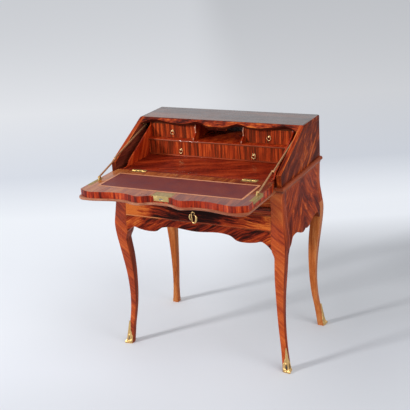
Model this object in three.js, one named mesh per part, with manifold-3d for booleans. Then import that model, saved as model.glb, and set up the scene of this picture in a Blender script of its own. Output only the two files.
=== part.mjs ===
// Slant-front writing desk on cabriole legs, flap open.
// Millimetres, +Z up. The front faces -Y and +X is to the right of someone sitting at it.
// While it is built, Y = 0 is the back of the case and Z = 0 the floor.
import * as THREE from 'three';
import { mergeVertices } from 'three/addons/utils/BufferGeometryUtils.js';
import Module from 'manifold-3d';

const wasm = await Module();
wasm.setup();

// Case
const HALF_WIDTH = 357;
const DEPTH = 423;
const HEIGHT = 920;
const TOP_DEPTH = 173;
const BOARD = 18;
const BACK_THICK = 12;
const GAP = 0.3;
const SHOULDER_Z = 797;
const WRITING_Z = 770;
const WAIST_Z = 727;
const INNER_HALF = HALF_WIDTH - BOARD;
const SLOPE = Math.atan2(HEIGHT - SHOULDER_Z, DEPTH - TOP_DEPTH);
const TOP_UNDERSIDE = HEIGHT - BOARD;
const TOP_FRONT = TOP_DEPTH + BOARD / Math.tan(SLOPE);

// Distances measured from the hinge line, up the closed flap and out of its inner face
const RIDGE_R = Math.hypot(DEPTH - TOP_DEPTH, HEIGHT - WRITING_Z)
  * Math.cos(Math.atan2(HEIGHT - WRITING_Z, DEPTH - TOP_DEPTH) - SLOPE);
const SLOPE_T = (SHOULDER_Z - WRITING_Z) * Math.cos(SLOPE);

// Writing interior
const DECK_HALF = 308.7;
const DECK_THICK = 12;
const RAIL_HALF = 325.9;
const RAIL_BACK = 407.7;
const CHEEK_THICK = 5.7;
const FLOOR_THICK = 8.5;
const LOWER_TIER_FRONT = 205;
const UPPER_TIER_FRONT = 171;
const BASE_TOP = 776;
const SHELF_BOTTOM = 832;
const SHELF_TOP = 838;
const PIGEONHOLE_HALF = 105;
const PARTITION_THICK = 5;
const DRAWER_WALL = 5;
const SMALL_DRAWER_BACK = 30;
const UPPER_DRAWER_TOP = 893.6;
const UPPER_PULL = [212, 868];
const LOWER_PULL = [160, 801];
const RING_R = 7.9;
const RING_WIRE = 1.1;
const RING_OUT = 4.2;

// Flap
const FLAP_THICK = SLOPE_T + 0.4;
const LIP_THICK = 8;
const FLAP_HALF = 337;
const LIP_HALF = 341.5;
const LIP_END = 283;
const LIP_CORNER = 14;
const FLAP_TOP_GAP = 2.5;
const STAY_NOTCH_X = 330.4;
const STAY_NOTCH_R = 30;
const LEATHER_HALF = 287;
const LEATHER_NEAR = 51;
const LEATHER_FAR = 196;
const LEATHER_THICK = 1.2;
const HINGE_X = 234;
const HINGE_WIDTH = 60;
const HINGE_LEAF = 17;
const LEAF_THICK = 2;
const KNUCKLE_R = 2.4;
const LOCK_HALF = 39.5;
const LOCK_NEAR = 208;
const LOCK_PLATE = 1.4;
const LOCK_EDGE_HALF = 31;
const LOCK_EDGE_DEPTH = 20;
const BOLT_WIDTH = 14;
const BOLT_THICK = 5;
const BOLT_T = 12;

// Stays: pivot on the flap, pivot on the case side, and the planes of the two links
const STAY_FOOT_R = 140;
const STAY_FOOT_UP = 9;
const STAY_FOOT_NEAR = 120;
const STAY_FOOT_FAR = 210;
const STAY_FOOT_X = 321.5;
const STAY_FOOT_THICK = 1.7;
const STAY_FOOT_DROP = 12;
const STAY_CASE_Y = 175;
const STAY_CASE_Z = 888.5;
const LINK_THICK = 4;
const LOWER_LINK_X = 326.3;
const UPPER_LINK_X = 331.3;
const LINK_HALF = 3.4;
const LINK_EYE = 4.6;

// Lower case
const STILE_FRONT = 46;
const STILE_INNER = HALF_WIDTH - STILE_FRONT;
const STILE_BACK = 36;
const STILE_FOOT_Z = 510;
const LEG_HEAD_Z = 470;
const LEG_HEAD_IN = 36;
const FASCIA_BOTTOM = 668.3;
const RAIL_BOTTOM = 637.3;
const DRAWER_TOP = 636.7;
const DRAWER_BOTTOM = 581.3;
const APRON_TOP = 580.7;
const DRAWER_INNER = 403;
const BOX_HALF = 299;
const BOX_BOTTOM = 586;
const BOX_TOP = 630;
const BOX_BACK = 45;
const ESCUTCHEON_Z = 600;
const LOCK_TOP = 634;
const LOCK_BOLT_FOOT = 618;
const LOCK_BOLT_HALF = 8;
const LOCK_BOLT_FRONT = 400.3;
const LOCK_BOLT_BACK = 396.7;
const SHOE_THICK = 2.6;
const TOE_OUT = 10;
const TOE_Z = 5;
const TOE_SPREAD = 7.5;
const LEAF_FOOT_COVER = 21;
const LEAF_TOP_COVER = 4;
const LEAF_TOP = 98;

// How far the corner line of legs and lower case stands out at each height
const CORNER_LINE = [
  [0, 8], [60, -1.5], [143, -12], [220, -15.5], [310, -12.5], [378, -6],
  [439, 1], [508, 8], [543, 9], [574, 6], [600, 3], [640, -1], [WAIST_Z, 0],
];
// Width of the leg below its head
const LEG_WIDTH = [[0, 26], [60, 22.5], [95, 21.5], [195, 24.5], [288, 29.5], [404, 38.5], [470, 41]];
// Lower edge of the top rail, measured down the slope from the ridge
const RAIL_EDGE = [
  [0, 38], [22, 38], [45, 33.5], [64, 22.5], [86, 14.5], [110, 19], [130, 26.5], [150, 30],
  [190, 30], [228, 23], [260, 16], [288, 13], [303, 17], [320, 25], [333, 34], [339, 38],
];
// Lower edge of the front apron from the middle to the stile
const APRON_EDGE = [
  [0, 546], [146, 546], [155, 541], [170, 530], [205, 525], [250, 530], [275, 536],
  [290, 528], [303, 517], [311, 507],
];
// Lower edge of the side apron from its middle to the stile
const SIDE_APRON_EDGE = [
  [0, 521], [8, 516], [28, 513], [56, 520], [88, 534], [120, 538], [146, 531],
  [153, 519], [161, 509], [171, 503],
];

const LEG_LEVELS = [
  0, 20, 40, 60, 80, 100, 125, 150, 180, 210, 240, 270, 300, 330, 360, 390, 420, 447,
  470, 482, 492, 501, STILE_FOOT_Z, 530, 550, 572, 600, 640, 680, WAIST_Z - GAP,
];

const FINISH = {
  veneer: { color: 0x6e2c1a, roughness: 0.22, metalness: 0 },
  veneerLight: { color: 0xa4512a, roughness: 0.24, metalness: 0 },
  veneerDark: { color: 0x4a2015, roughness: 0.25, metalness: 0 },
  carcase: { color: 0x8a6240, roughness: 0.7, metalness: 0 },
  leather: { color: 0x73303a, roughness: 0.45, metalness: 0 },
  brass: { color: 0xb9a05a, roughness: 0.35, metalness: 1 },
  gilt: { color: 0xc9a24a, roughness: 0.3, metalness: 1 },
  steel: { color: 0x8c8578, roughness: 0.4, metalness: 1 },
};

const SIDES = [['left', -1], ['right', 1]];
const desk = new THREE.Group();

// Smooth curve through a few points, as a function of the first coordinate
function curve(points) {
  const xs = points.map(([x]) => x);
  const ys = points.map(([, y]) => y);
  const fit = new THREE.CubicInterpolant(xs, ys, 1);
  return (x) => fit.evaluate(THREE.MathUtils.clamp(x, xs[0], xs[xs.length - 1]))[0];
}

// The X of two upright planes on one side of the desk, in rising order
function between(side, near, far) {
  return [side * near, side * far].sort((a, b) => a - b);
}

function steps(from, to, count) {
  return Array.from({ length: count + 1 }, (_, i) => from + (to - from) * i / count);
}

function shapeOf(points) {
  return new THREE.Shape(points.map(([a, b]) => new THREE.Vector2(a, b)));
}

// Flat outlines pushed along an axis: (Y, Z) along X, (X, Z) along Y, (X, Y) along Z
function extrude(outline, depth) {
  const shape = outline instanceof THREE.Shape ? outline : shapeOf(outline);
  return new THREE.ExtrudeGeometry(shape, { depth, bevelEnabled: false, curveSegments: 8 });
}

function alongX(outline, x0, x1) {
  const turn = new THREE.Matrix4().makeBasis(
    new THREE.Vector3(0, 1, 0), new THREE.Vector3(0, 0, 1), new THREE.Vector3(1, 0, 0));
  return extrude(outline, x1 - x0).applyMatrix4(turn).translate(x0, 0, 0);
}

function alongY(outline, y0, y1) {
  const turn = new THREE.Matrix4().makeBasis(
    new THREE.Vector3(1, 0, 0), new THREE.Vector3(0, 0, 1), new THREE.Vector3(0, -1, 0));
  return extrude(outline, y1 - y0).applyMatrix4(turn).translate(0, y1, 0);
}

function alongZ(outline, z0, z1) {
  return extrude(outline, z1 - z0).translate(0, 0, z0);
}

function block(x0, x1, y0, y1, z0, z1) {
  const geometry = new THREE.BoxGeometry(Math.abs(x1 - x0), y1 - y0, z1 - z0);
  return geometry.translate((x0 + x1) / 2, (y0 + y1) / 2, (z0 + z1) / 2);
}

// Solids that can be joined and cut
function solid(geometry) {
  const bare = geometry.clone();
  bare.deleteAttribute('normal');
  bare.deleteAttribute('uv');
  const welded = mergeVertices(bare, 1e-4);
  return new wasm.Manifold(new wasm.Mesh({
    numProp: 3,
    vertProperties: new Float32Array(welded.attributes.position.array),
    triVerts: new Uint32Array(welded.index.array),
  }));
}

function shell(body) {
  const mesh = body.getMesh();
  const geometry = new THREE.BufferGeometry();
  geometry.setAttribute('position', new THREE.BufferAttribute(new Float32Array(mesh.vertProperties), 3));
  geometry.setIndex(new THREE.BufferAttribute(new Uint32Array(mesh.triVerts), 1));
  geometry.computeVertexNormals();
  return geometry;
}

function cut(base, ...tools) {
  return shell(tools.reduce((rest, tool) => rest.subtract(solid(tool)), solid(base)));
}

function join(base, ...others) {
  return shell(others.reduce((sum, other) => sum.add(solid(other)), solid(base)));
}

function common(first, second) {
  return shell(solid(first).intersect(solid(second)));
}

function piece(name, geometry, finish, parent = desk) {
  const mesh = new THREE.Mesh(geometry, new THREE.MeshStandardMaterial(FINISH[finish]));
  mesh.name = name;
  parent.add(mesh);
  return mesh;
}

// Rings of points joined into a closed body, for sections that change with height
function loft(rings) {
  const count = rings[0].length;
  const positions = rings.flat().flatMap((p) => [p.x, p.y, p.z]);
  const index = [];
  for (let level = 0; level < rings.length - 1; level += 1) {
    for (let i = 0; i < count; i += 1) {
      const a = level * count + i;
      const b = level * count + (i + 1) % count;
      index.push(a, b, b + count, a, b + count, a + count);
    }
  }
  const top = (rings.length - 1) * count;
  for (let i = 1; i < count - 1; i += 1) {
    index.push(0, i + 1, i);
    index.push(top, top + i, top + i + 1);
  }
  const geometry = new THREE.BufferGeometry();
  geometry.setAttribute('position', new THREE.Float32BufferAttribute(positions, 3));
  geometry.setIndex(index);
  geometry.computeVertexNormals();
  return geometry;
}

const bulge = curve(CORNER_LINE);
const railEdge = curve(RAIL_EDGE);
const openingR = (x) => RIDGE_R - railEdge(Math.abs(x));

// Puts a body made in the closed flap's own directions in its place: X, up the slope, out of it
function onSlope(geometry) {
  return geometry.rotateX(SLOPE).translate(0, -DEPTH, WRITING_Z);
}

// Top board with a bevelled front edge, notched between the sides for the top rail
function topBoard() {
  const bevelled = alongX([
    [0, TOP_UNDERSIDE], [-TOP_FRONT, TOP_UNDERSIDE], [-TOP_DEPTH, HEIGHT], [0, HEIGHT],
  ], -HALF_WIDTH, HALF_WIDTH);
  const round = 6;
  const front = new THREE.Shape();
  front.moveTo(-HALF_WIDTH, SHOULDER_Z);
  front.lineTo(HALF_WIDTH, SHOULDER_Z);
  front.lineTo(HALF_WIDTH, HEIGHT - round);
  front.absarc(HALF_WIDTH - round, HEIGHT - round, round, 0, Math.PI / 2);
  front.absarc(-HALF_WIDTH + round, HEIGHT - round, round, Math.PI / 2, Math.PI);
  const rounded = common(bevelled, alongY(front, -DEPTH, 1));
  const notchHalf = INNER_HALF + GAP;
  const notch = block(-notchHalf, notchHalf, -DEPTH, -TOP_DEPTH + GAP / 2, SHOULDER_Z, HEIGHT + 1);
  return cut(rounded, notch);
}

// Top rail in the slope: serpentine lower edge, a thick middle that takes the lock bolt
function topRail() {
  const thick = 12;
  const half = INNER_HALF - GAP;
  const lower = steps(-half, half, 64).map((x) => [x, openingR(x)]);
  const outline = [...lower, [half, RIDGE_R], [-half, RIDGE_R]];
  const plate = alongZ(outline, SLOPE_T - thick, SLOPE_T);
  const blockHalf = 40;
  const lockBlock = block(-blockHalf, blockHalf, openingR(0) + 5, RIDGE_R - 6, 0.4, SLOPE_T - thick + 1);
  const mortise = block(-BOLT_WIDTH / 2 - 1, BOLT_WIDTH / 2 + 1, openingR(0) - 5, openingR(0) + 10,
    BOLT_T - BOLT_THICK / 2 - 1, BOLT_T + BOLT_THICK / 2 + 1);
  const raw = cut(join(plate, lockBlock), mortise);
  const inFront = block(-HALF_WIDTH, HALF_WIDTH, -DEPTH, -TOP_DEPTH - GAP / 2, WRITING_Z, HEIGHT);
  return common(onSlope(raw), inFront);
}

function upperSide(side) {
  const outline = [
    [0, WAIST_Z], [-DEPTH, WAIST_Z], [-DEPTH, SHOULDER_Z],
    [-TOP_FRONT, TOP_UNDERSIDE - GAP], [0, TOP_UNDERSIDE - GAP],
  ];
  const [x0, x1] = side < 0 ? [-HALF_WIDTH, -INNER_HALF] : [INNER_HALF, HALF_WIDTH];
  return alongX(outline, x0, x1);
}

// Profile run round the left side, the front and the right side with mitred corners
function mitredBand(profile) {
  const corners = (p) => [
    [-HALF_WIDTH - p, 0], [-HALF_WIDTH - p, -DEPTH - p], [HALF_WIDTH + p, -DEPTH - p], [HALF_WIDTH + p, 0],
  ];
  const rings = steps(0, 3, 3).map((i) => profile.map(([p, z]) => {
    const [x, y] = corners(p)[i];
    return new THREE.Vector3(x, y, z);
  }));
  const count = profile.length;
  const index = [];
  for (let level = 0; level < 3; level += 1) {
    for (let i = 0; i < count; i += 1) {
      const a = level * count + i;
      const b = level * count + (i + 1) % count;
      index.push(a, b, b + count, a, b + count, a + count);
    }
  }
  const flat = profile.map(([p, z]) => new THREE.Vector2(p, z));
  for (const [a, b, c] of THREE.ShapeUtils.triangulateShape(flat, [])) {
    index.push(a, b, c);
    index.push(3 * count + a, 3 * count + c, 3 * count + b);
  }
  const geometry = new THREE.BufferGeometry();
  geometry.setAttribute('position',
    new THREE.Float32BufferAttribute(rings.flat().flatMap((v) => [v.x, v.y, v.z]), 3));
  geometry.setIndex(index);
  geometry.computeVertexNormals();
  return geometry;
}

function waistMoulding() {
  const nose = 11;
  const noseZ = 743.5;
  const noseR = 8.2;
  const round = steps(-Math.PI / 2, Math.PI / 2, 8).map((t) => [
    nose - noseR + noseR * Math.cos(t), noseZ + noseR * Math.sin(t),
  ]);
  const hollow = steps(0, Math.PI / 2, 4).map((t) => [
    1.2 + 6 * (1 - Math.cos(t)) * 0.6, WAIST_Z + GAP + 7 * Math.sin(t),
  ]);
  const profile = [[GAP, noseZ + noseR], [GAP, WAIST_Z + GAP], ...hollow, ...round.slice(0, -1)];
  return mitredBand(profile.reverse());
}

// Cheek: closes the recess of the stay, with an edge that follows the closed flap
function cheek(side) {
  const toe = [-390, WRITING_Z];
  const slopeFoot = [-368, 789];
  const slopeHead = [-180, 884];
  const outline = new THREE.Shape();
  outline.moveTo(-BACK_THICK - GAP, WAIST_Z + FLOOR_THICK + GAP);
  outline.lineTo(-RAIL_BACK + GAP, WAIST_Z + FLOOR_THICK + GAP);
  outline.lineTo(-RAIL_BACK + GAP, WRITING_Z);
  outline.lineTo(...toe);
  outline.quadraticCurveTo(-374, WRITING_Z + 1, ...slopeFoot);
  outline.lineTo(...slopeHead);
  outline.quadraticCurveTo(-173, 888, -UPPER_TIER_FRONT, TOP_UNDERSIDE - GAP);
  outline.lineTo(-BACK_THICK - GAP, TOP_UNDERSIDE - GAP);
  const x0 = DECK_HALF + GAP;
  return alongX(outline, side < 0 ? -x0 - CHEEK_THICK : x0, side < 0 ? -x0 : x0 + CHEEK_THICK);
}

// Partition beside the pigeonhole, with an S-shaped front edge
function partition(side) {
  const outline = new THREE.Shape();
  const foot = SHELF_TOP + GAP;
  const head = TOP_UNDERSIDE - GAP;
  outline.moveTo(-BACK_THICK - GAP, foot);
  outline.lineTo(-LOWER_TIER_FRONT + 4, foot);
  outline.bezierCurveTo(-LOWER_TIER_FRONT - 2, foot + 18, -167, foot + 18, -178, foot + 38);
  outline.bezierCurveTo(-182, foot + 47, -174, head - 10, -UPPER_TIER_FRONT, head);
  outline.lineTo(-BACK_THICK - GAP, head);
  const x0 = side * PIGEONHOLE_HALF - PARTITION_THICK / 2;
  return alongX(outline, x0, x0 + PARTITION_THICK);
}

// Pockets and knuckle groove for the flap hinges
function hingePocket(side, yNear, yFar) {
  const x0 = side * HINGE_X - HINGE_WIDTH / 2 - GAP;
  const x1 = side * HINGE_X + HINGE_WIDTH / 2 + GAP;
  return block(x0, x1, yNear, yFar, -LEAF_THICK - GAP, 1);
}

function hingeGroove(side) {
  const outline = new THREE.Shape();
  outline.absarc(0, 0, KNUCKLE_R + 0.5, 0, Math.PI * 2);
  const half = HINGE_WIDTH / 2 + GAP;
  return alongX(outline, side * HINGE_X - half, side * HINGE_X + half);
}

// Hinge leaf with its share of the knuckle; its own place is the hinge axis
function hingeLeaf(side, onFlap) {
  const reach = onFlap ? -1 : 1;
  const x0 = side * HINGE_X - HINGE_WIDTH / 2;
  const yEnds = [reach * 0.7, reach * HINGE_LEAF].sort((a, b) => a - b);
  const plate = block(x0, x0 + HINGE_WIDTH, ...yEnds, -LEAF_THICK, 0);
  const third = HINGE_WIDTH / 3;
  const circle = new THREE.Shape();
  circle.absarc(0, 0, KNUCKLE_R, 0, Math.PI * 2);
  const spans = onFlap ? [[0, third - GAP], [2 * third + GAP, HINGE_WIDTH]] : [[third, 2 * third]];
  const others = onFlap ? [[third - GAP, 2 * third + GAP]] : [[-1, third], [2 * third, HINGE_WIDTH + 1]];
  const rolls = spans.map(([a, b]) => alongX(circle, x0 + a, x0 + b));
  const reliefs = others.map(([a, b]) => block(x0 + a, x0 + b, -KNUCKLE_R - 0.6, KNUCKLE_R + 0.6, -4, 4));
  return cut(join(plate, ...rolls), ...reliefs);
}

function frontRail() {
  const rail = block(-RAIL_HALF, RAIL_HALF, -DEPTH, -RAIL_BACK, WAIST_Z, WRITING_Z);
  const tools = SIDES.flatMap(([, side]) => [
    hingePocket(side, -1, HINGE_LEAF + GAP).translate(0, -DEPTH, WRITING_Z),
    hingeGroove(side).translate(0, -DEPTH, WRITING_Z),
  ]);
  return cut(rail, ...tools);
}

function deckBoard() {
  const deck = block(-DECK_HALF, DECK_HALF, -RAIL_BACK + GAP, -BACK_THICK - GAP,
    WRITING_Z - DECK_THICK, WRITING_Z);
  return cut(deck, ...SIDES.map(([, side]) => (
    hingePocket(side, -1, HINGE_LEAF + GAP).translate(0, -DEPTH, WRITING_Z))));
}

// Small drawer: open box whose front carries a rosette, and the peg that its ring hangs on
function smallDrawer(x0, x1, front, z0, z1, pullX, pullZ) {
  const body = block(x0, x1, -front, -SMALL_DRAWER_BACK, z0, z1);
  const hollow = block(x0 + DRAWER_WALL, x1 - DRAWER_WALL, -front + 8, -SMALL_DRAWER_BACK - DRAWER_WALL,
    z0 + 3.5, z1 + 1);
  const rosette = new THREE.CylinderGeometry(8, 7, 1.4, 16).translate(pullX, -front - 0.6, pullZ);
  const peg = new THREE.CylinderGeometry(1.5, 1.5, 7, 10)
    .translate(pullX, -front - 2.8, pullZ - RING_WIRE - 1.9);
  return join(cut(body, hollow), rosette, peg);
}

function ringPull() {
  return new THREE.TorusGeometry(RING_R, RING_WIRE, 6, 16).rotateX(Math.PI / 2).translate(0, 0, -RING_R);
}

// Angle plate of a stay's foot, flush with the writing side and the side edge of the flap
function stayPlate(side, out, grow) {
  const ends = [-STAY_FOOT_FAR - grow, -STAY_FOOT_NEAR + grow];
  const thick = STAY_FOOT_THICK + grow;
  const sole = block(...between(side, STAY_FOOT_X - grow, out), ...ends, -thick, 0);
  const wing = block(...between(side, FLAP_HALF - 0.1 - thick, out), ...ends, -STAY_FOOT_DROP - grow, 0);
  return join(sole, wing);
}

// Flap outline and board in the open position: x, distance from the hinge, depth below.
// The foot plates of the stays are let in at its side edges.
function flapBoard() {
  const boardEdge = (x) => openingR(x) - FLAP_TOP_GAP;
  const edge = steps(-FLAP_HALF, FLAP_HALF, 64).map((x) => [x, -boardEdge(x)]);
  const board = alongZ([
    ...edge,
    [FLAP_HALF, -STAY_NOTCH_R], [STAY_NOTCH_X, -STAY_NOTCH_R], [STAY_NOTCH_X, -0.6],
    [-STAY_NOTCH_X, -0.6], [-STAY_NOTCH_X, -STAY_NOTCH_R], [-FLAP_HALF, -STAY_NOTCH_R],
  ], -FLAP_THICK, 0);
  const lipNear = 14;
  const flat = 290;
  const outline = new THREE.Shape();
  outline.moveTo(-LIP_HALF, -lipNear);
  outline.lineTo(-LIP_HALF, -LIP_END + LIP_CORNER);
  outline.absarc(-LIP_HALF + LIP_CORNER, -LIP_END + LIP_CORNER, LIP_CORNER, Math.PI, Math.PI * 1.5);
  for (const x of steps(-flat, flat, 56)) {
    outline.lineTo(x, -openingR(x) - 5.5);
  }
  outline.absarc(LIP_HALF - LIP_CORNER, -LIP_END + LIP_CORNER, LIP_CORNER, Math.PI * 1.5, Math.PI * 2);
  outline.lineTo(LIP_HALF, -lipNear);
  const lip = alongZ(outline, -FLAP_THICK - LIP_THICK, -FLAP_THICK + 0.01);
  const rebate = block(-HALF_WIDTH, HALF_WIDTH, -lipNear + 2, 1, -FLAP_THICK - 1, -16.8);
  const leather = block(-LEATHER_HALF - GAP, LEATHER_HALF + GAP, -LEATHER_FAR - GAP, -LEATHER_NEAR + GAP,
    -LEATHER_THICK - GAP, 1);
  const front = openingR(0) - FLAP_TOP_GAP;
  const platePocket = block(-LOCK_HALF - GAP, LOCK_HALF + GAP, -front - 9, -LOCK_NEAR + GAP,
    -LOCK_PLATE - GAP, 1);
  const edgePocket = block(-LOCK_EDGE_HALF - GAP, LOCK_EDGE_HALF + GAP, -front - 9,
    -front + LOCK_PLATE + GAP, -LOCK_EDGE_DEPTH - GAP, 1);
  const boltSlot = block(-BOLT_WIDTH / 2 - 0.4, BOLT_WIDTH / 2 + 0.4, -front - 9, -front + 28,
    -BOLT_T - BOLT_THICK / 2 - 0.4, -BOLT_T + BOLT_THICK / 2 + 0.4);
  const above = block(-HALF_WIDTH, HALF_WIDTH, -DEPTH, 0, -FLAP_THICK, 2);
  const pockets = [platePocket, edgePocket, boltSlot].map((tool) => common(tool, above));
  const hinges = SIDES.flatMap(([, side]) => [
    hingePocket(side, -HINGE_LEAF - GAP, 1), hingeGroove(side),
  ]);
  const stayPockets = SIDES.map(([, side]) => stayPlate(side, FLAP_HALF + 1, GAP));
  return cut(join(board, lip), rebate, leather, ...pockets, ...hinges, ...stayPockets);
}

function flapLock() {
  const front = openingR(0) - FLAP_TOP_GAP;
  const plate = block(-LOCK_HALF, LOCK_HALF, -front + LOCK_PLATE, -LOCK_NEAR, -LOCK_PLATE, 0);
  const edge = block(-LOCK_EDGE_HALF, LOCK_EDGE_HALF, -front, -front + LOCK_PLATE, -LOCK_EDGE_DEPTH, 0);
  const mouth = block(-BOLT_WIDTH / 2 - 0.4, BOLT_WIDTH / 2 + 0.4, -front - 1, -front + LOCK_PLATE + 1,
    -BOLT_T - BOLT_THICK / 2 - 0.4, -BOLT_T + BOLT_THICK / 2 + 0.4);
  return cut(join(plate, edge), mouth);
}

// Bar with round eyes from one pivot to the other
function link(from, to, x0) {
  const along = new THREE.Vector2().subVectors(to, from);
  const turn = along.angle();
  const length = along.length();
  const outline = new THREE.Shape();
  const neck = Math.asin(LINK_HALF / LINK_EYE);
  outline.absarc(0, 0, LINK_EYE, neck, Math.PI * 2 - neck);
  outline.absarc(length, 0, LINK_EYE, -Math.PI + neck, Math.PI - neck);
  return alongX(outline, x0, x0 + LINK_THICK).rotateX(turn).translate(0, from.x, from.y);
}

function legInner(z, stile) {
  const width = curve(LEG_WIDTH);
  if (z <= LEG_HEAD_Z) {
    return width(z) - bulge(z);
  }
  const t = THREE.MathUtils.smoothstep(z, LEG_HEAD_Z, STILE_FOOT_Z);
  return THREE.MathUtils.lerp(LEG_HEAD_IN, stile, t);
}

// One corner: measures run outward from the corner line of the case, on either side of it
function cornerRing(sx, sy, z, inner, outer, round, tip = 0) {
  const soft = 1;
  const arc = steps(0, Math.PI / 2, 3).map((t) => {
    const push = tip * Math.sin(2 * t) - round;
    return [outer + push + round * Math.cos(t), outer + push + round * Math.sin(t)];
  });
  const ring = [
    [-inner + soft, -inner], [outer - soft, -inner], [outer, -inner + soft],
    ...arc,
    [-inner + soft, outer], [-inner, outer - soft], [-inner, -inner + soft],
  ];
  const points = ring.map(([a, b]) => new THREE.Vector3(
    sx * (HALF_WIDTH + a), sy < 0 ? -DEPTH - b : b, z));
  return sx * sy < 0 ? points.reverse() : points;
}

function stileWidth(sy) {
  return sy < 0 ? STILE_FRONT : STILE_BACK;
}

function leg(sx, sy) {
  const round = 3;
  return loft(LEG_LEVELS.map((z) => cornerRing(sx, sy, z, legInner(z, stileWidth(sy)), bulge(z), round)));
}

// Gilt shoe: an angle of cast bronze on the outer corner of the foot. It narrows upwards to
// a leaf, and a toe stands out from it near the floor.
function shoe(sx, sy) {
  const levels = [0, 3, 8, 12, 16, 22, 30, 42, 56, 70, 84, LEAF_TOP];
  const cover = (z) => (
    THREE.MathUtils.mapLinear(z, 0, LEAF_TOP, LEAF_FOOT_COVER, LEAF_TOP_COVER) - bulge(z));
  const toe = (z) => TOE_OUT * Math.exp(-(((z - TOE_Z) / TOE_SPREAD) ** 2));
  const body = loft(levels.map((z) => (
    cornerRing(sx, sy, z, cover(z), bulge(z) + SHOE_THICK, 6, toe(z)))));
  const foot = loft([-1, 20, 40, 60, 80, 100, 125].map((z) => (
    cornerRing(sx, sy, z, legInner(z, stileWidth(sy)) + GAP, bulge(z) + GAP, 3))));
  return cut(body, foot);
}

// Board whose outer face follows the corner line of the legs, between two heights
function frontBand(z0, z1, inner, count, x0, x1, proud = 0) {
  const face = steps(z0, z1, count).map((z) => [-DEPTH - bulge(z) - proud, z]);
  return alongX([...face, [-inner, z1], [-inner, z0]], x0, x1);
}

function frontApron() {
  const edge = curve(APRON_EDGE);
  const half = STILE_INNER - GAP;
  const straight = APRON_EDGE[1][0];
  const rightEdge = steps(straight, half, 26).map((x) => [x, edge(x)]);
  const leftEdge = rightEdge.map(([x, z]) => [-x, z]).reverse();
  const outline = [...leftEdge, ...rightEdge, [half, APRON_TOP], [-half, APRON_TOP]];
  const band = frontBand(500, APRON_TOP, DEPTH - 20, 10, -half, half);
  return common(band, alongY(outline, -DEPTH - 30, 0));
}

function lowerSide(side) {
  const edge = curve(SIDE_APRON_EDGE);
  const y0 = -DEPTH + STILE_FRONT + GAP;
  const y1 = -STILE_BACK - GAP;
  const middle = (y0 + y1) / 2;
  const lower = steps(y0, y1, 56).map((y) => [y, edge(Math.abs(y - middle))]);
  const outline = [...lower, [y1, WAIST_Z - GAP], [y0, WAIST_Z - GAP]];
  const face = steps(498, WAIST_Z - GAP, 18).map((z) => [side * (HALF_WIDTH + bulge(z)), z]);
  const band = alongY([...face, [side * INNER_HALF, WAIST_Z - GAP], [side * INNER_HALF, 498]], y0, y1);
  return common(band, alongX(outline, side < 0 ? -400 : 300, side < 0 ? -300 : 400));
}

// Rail above the frieze drawer: two beads along its face and a mortise for the drawer's lock bolt
function drawerRail() {
  const face = DEPTH - 1;
  const back = 388;
  const beadR = 2.4;
  const bead = (z) => steps(-Math.PI / 2, Math.PI / 2, 6).map((t) => [
    -face - beadR * Math.cos(t), z + beadR * Math.sin(t),
  ]);
  const outline = [
    [-back, RAIL_BOTTOM], [-face, RAIL_BOTTOM], ...bead(RAIL_BOTTOM + 4), ...bead(FASCIA_BOTTOM - 5),
    [-face, FASCIA_BOTTOM - GAP], [-back, FASCIA_BOTTOM - GAP],
  ];
  const half = STILE_INNER - GAP;
  const mortise = block(-LOCK_BOLT_HALF - 1, LOCK_BOLT_HALF + 1, -LOCK_BOLT_FRONT - 1, -LOCK_BOLT_BACK + 1,
    RAIL_BOTTOM - 1, RAIL_BOTTOM + 9);
  return cut(alongX(outline, -half, half), mortise);
}

// Cartouche outline with a lobed edge
function cartouche(grow) {
  return steps(0, Math.PI * 2, 40).slice(0, -1).map((t) => {
    const lobe = 1 + 0.07 * Math.cos(6 * t) + 0.04 * Math.cos(2 * t);
    return [(18.2 * lobe + grow) * Math.sin(t), ESCUTCHEON_Z + (25.6 * lobe + grow) * Math.cos(t)];
  });
}

function keyhole(y0, y1) {
  const outline = new THREE.Shape();
  const slot = 1.2;
  const round = 2.6;
  const turn = Math.asin(slot / round);
  outline.absarc(0, ESCUTCHEON_Z + 4, round, -Math.PI / 2 + turn, Math.PI * 1.5 - turn);
  outline.lineTo(-slot, ESCUTCHEON_Z - 6);
  outline.lineTo(slot, ESCUTCHEON_Z - 6);
  return alongY(outline, y0, y1);
}

function drawerFront() {
  const half = STILE_INNER - 0.6;
  const body = frontBand(DRAWER_BOTTOM, DRAWER_TOP, DRAWER_INNER, 8, -half, half);
  const lip = frontBand(DRAWER_BOTTOM, DRAWER_BOTTOM + 3.6, DEPTH - 2, 2, -half, half, 1.6);
  const clear = alongY(cartouche(1), -DEPTH - 30, -DRAWER_INNER - 19);
  const clearance = cut(clear, frontBand(560, 640, 300, 10, -100, 100));
  return cut(join(body, cut(lip, clearance)), keyhole(-DEPTH - 30, -DRAWER_INNER + 20));
}

function escutcheon() {
  const plate = cut(frontBand(560, 640, 300, 10, -40, 40, 3), frontBand(550, 650, 299, 12, -50, 50, GAP));
  const cover = common(plate, alongY(cartouche(0), -DEPTH - 30, -DEPTH + 10));
  return cut(cover, keyhole(-DEPTH - 30, -DEPTH + 20));
}

function drawerBox() {
  const body = block(-BOX_HALF, BOX_HALF, -DRAWER_INNER + GAP, -BOX_BACK, BOX_BOTTOM, BOX_TOP);
  const wall = 9;
  const bottom = 6;
  const hollow = block(-BOX_HALF + wall, BOX_HALF - wall, -DRAWER_INNER - 1, -BOX_BACK - wall,
    BOX_BOTTOM + bottom, BOX_TOP + 1);
  return cut(body, hollow);
}

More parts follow.
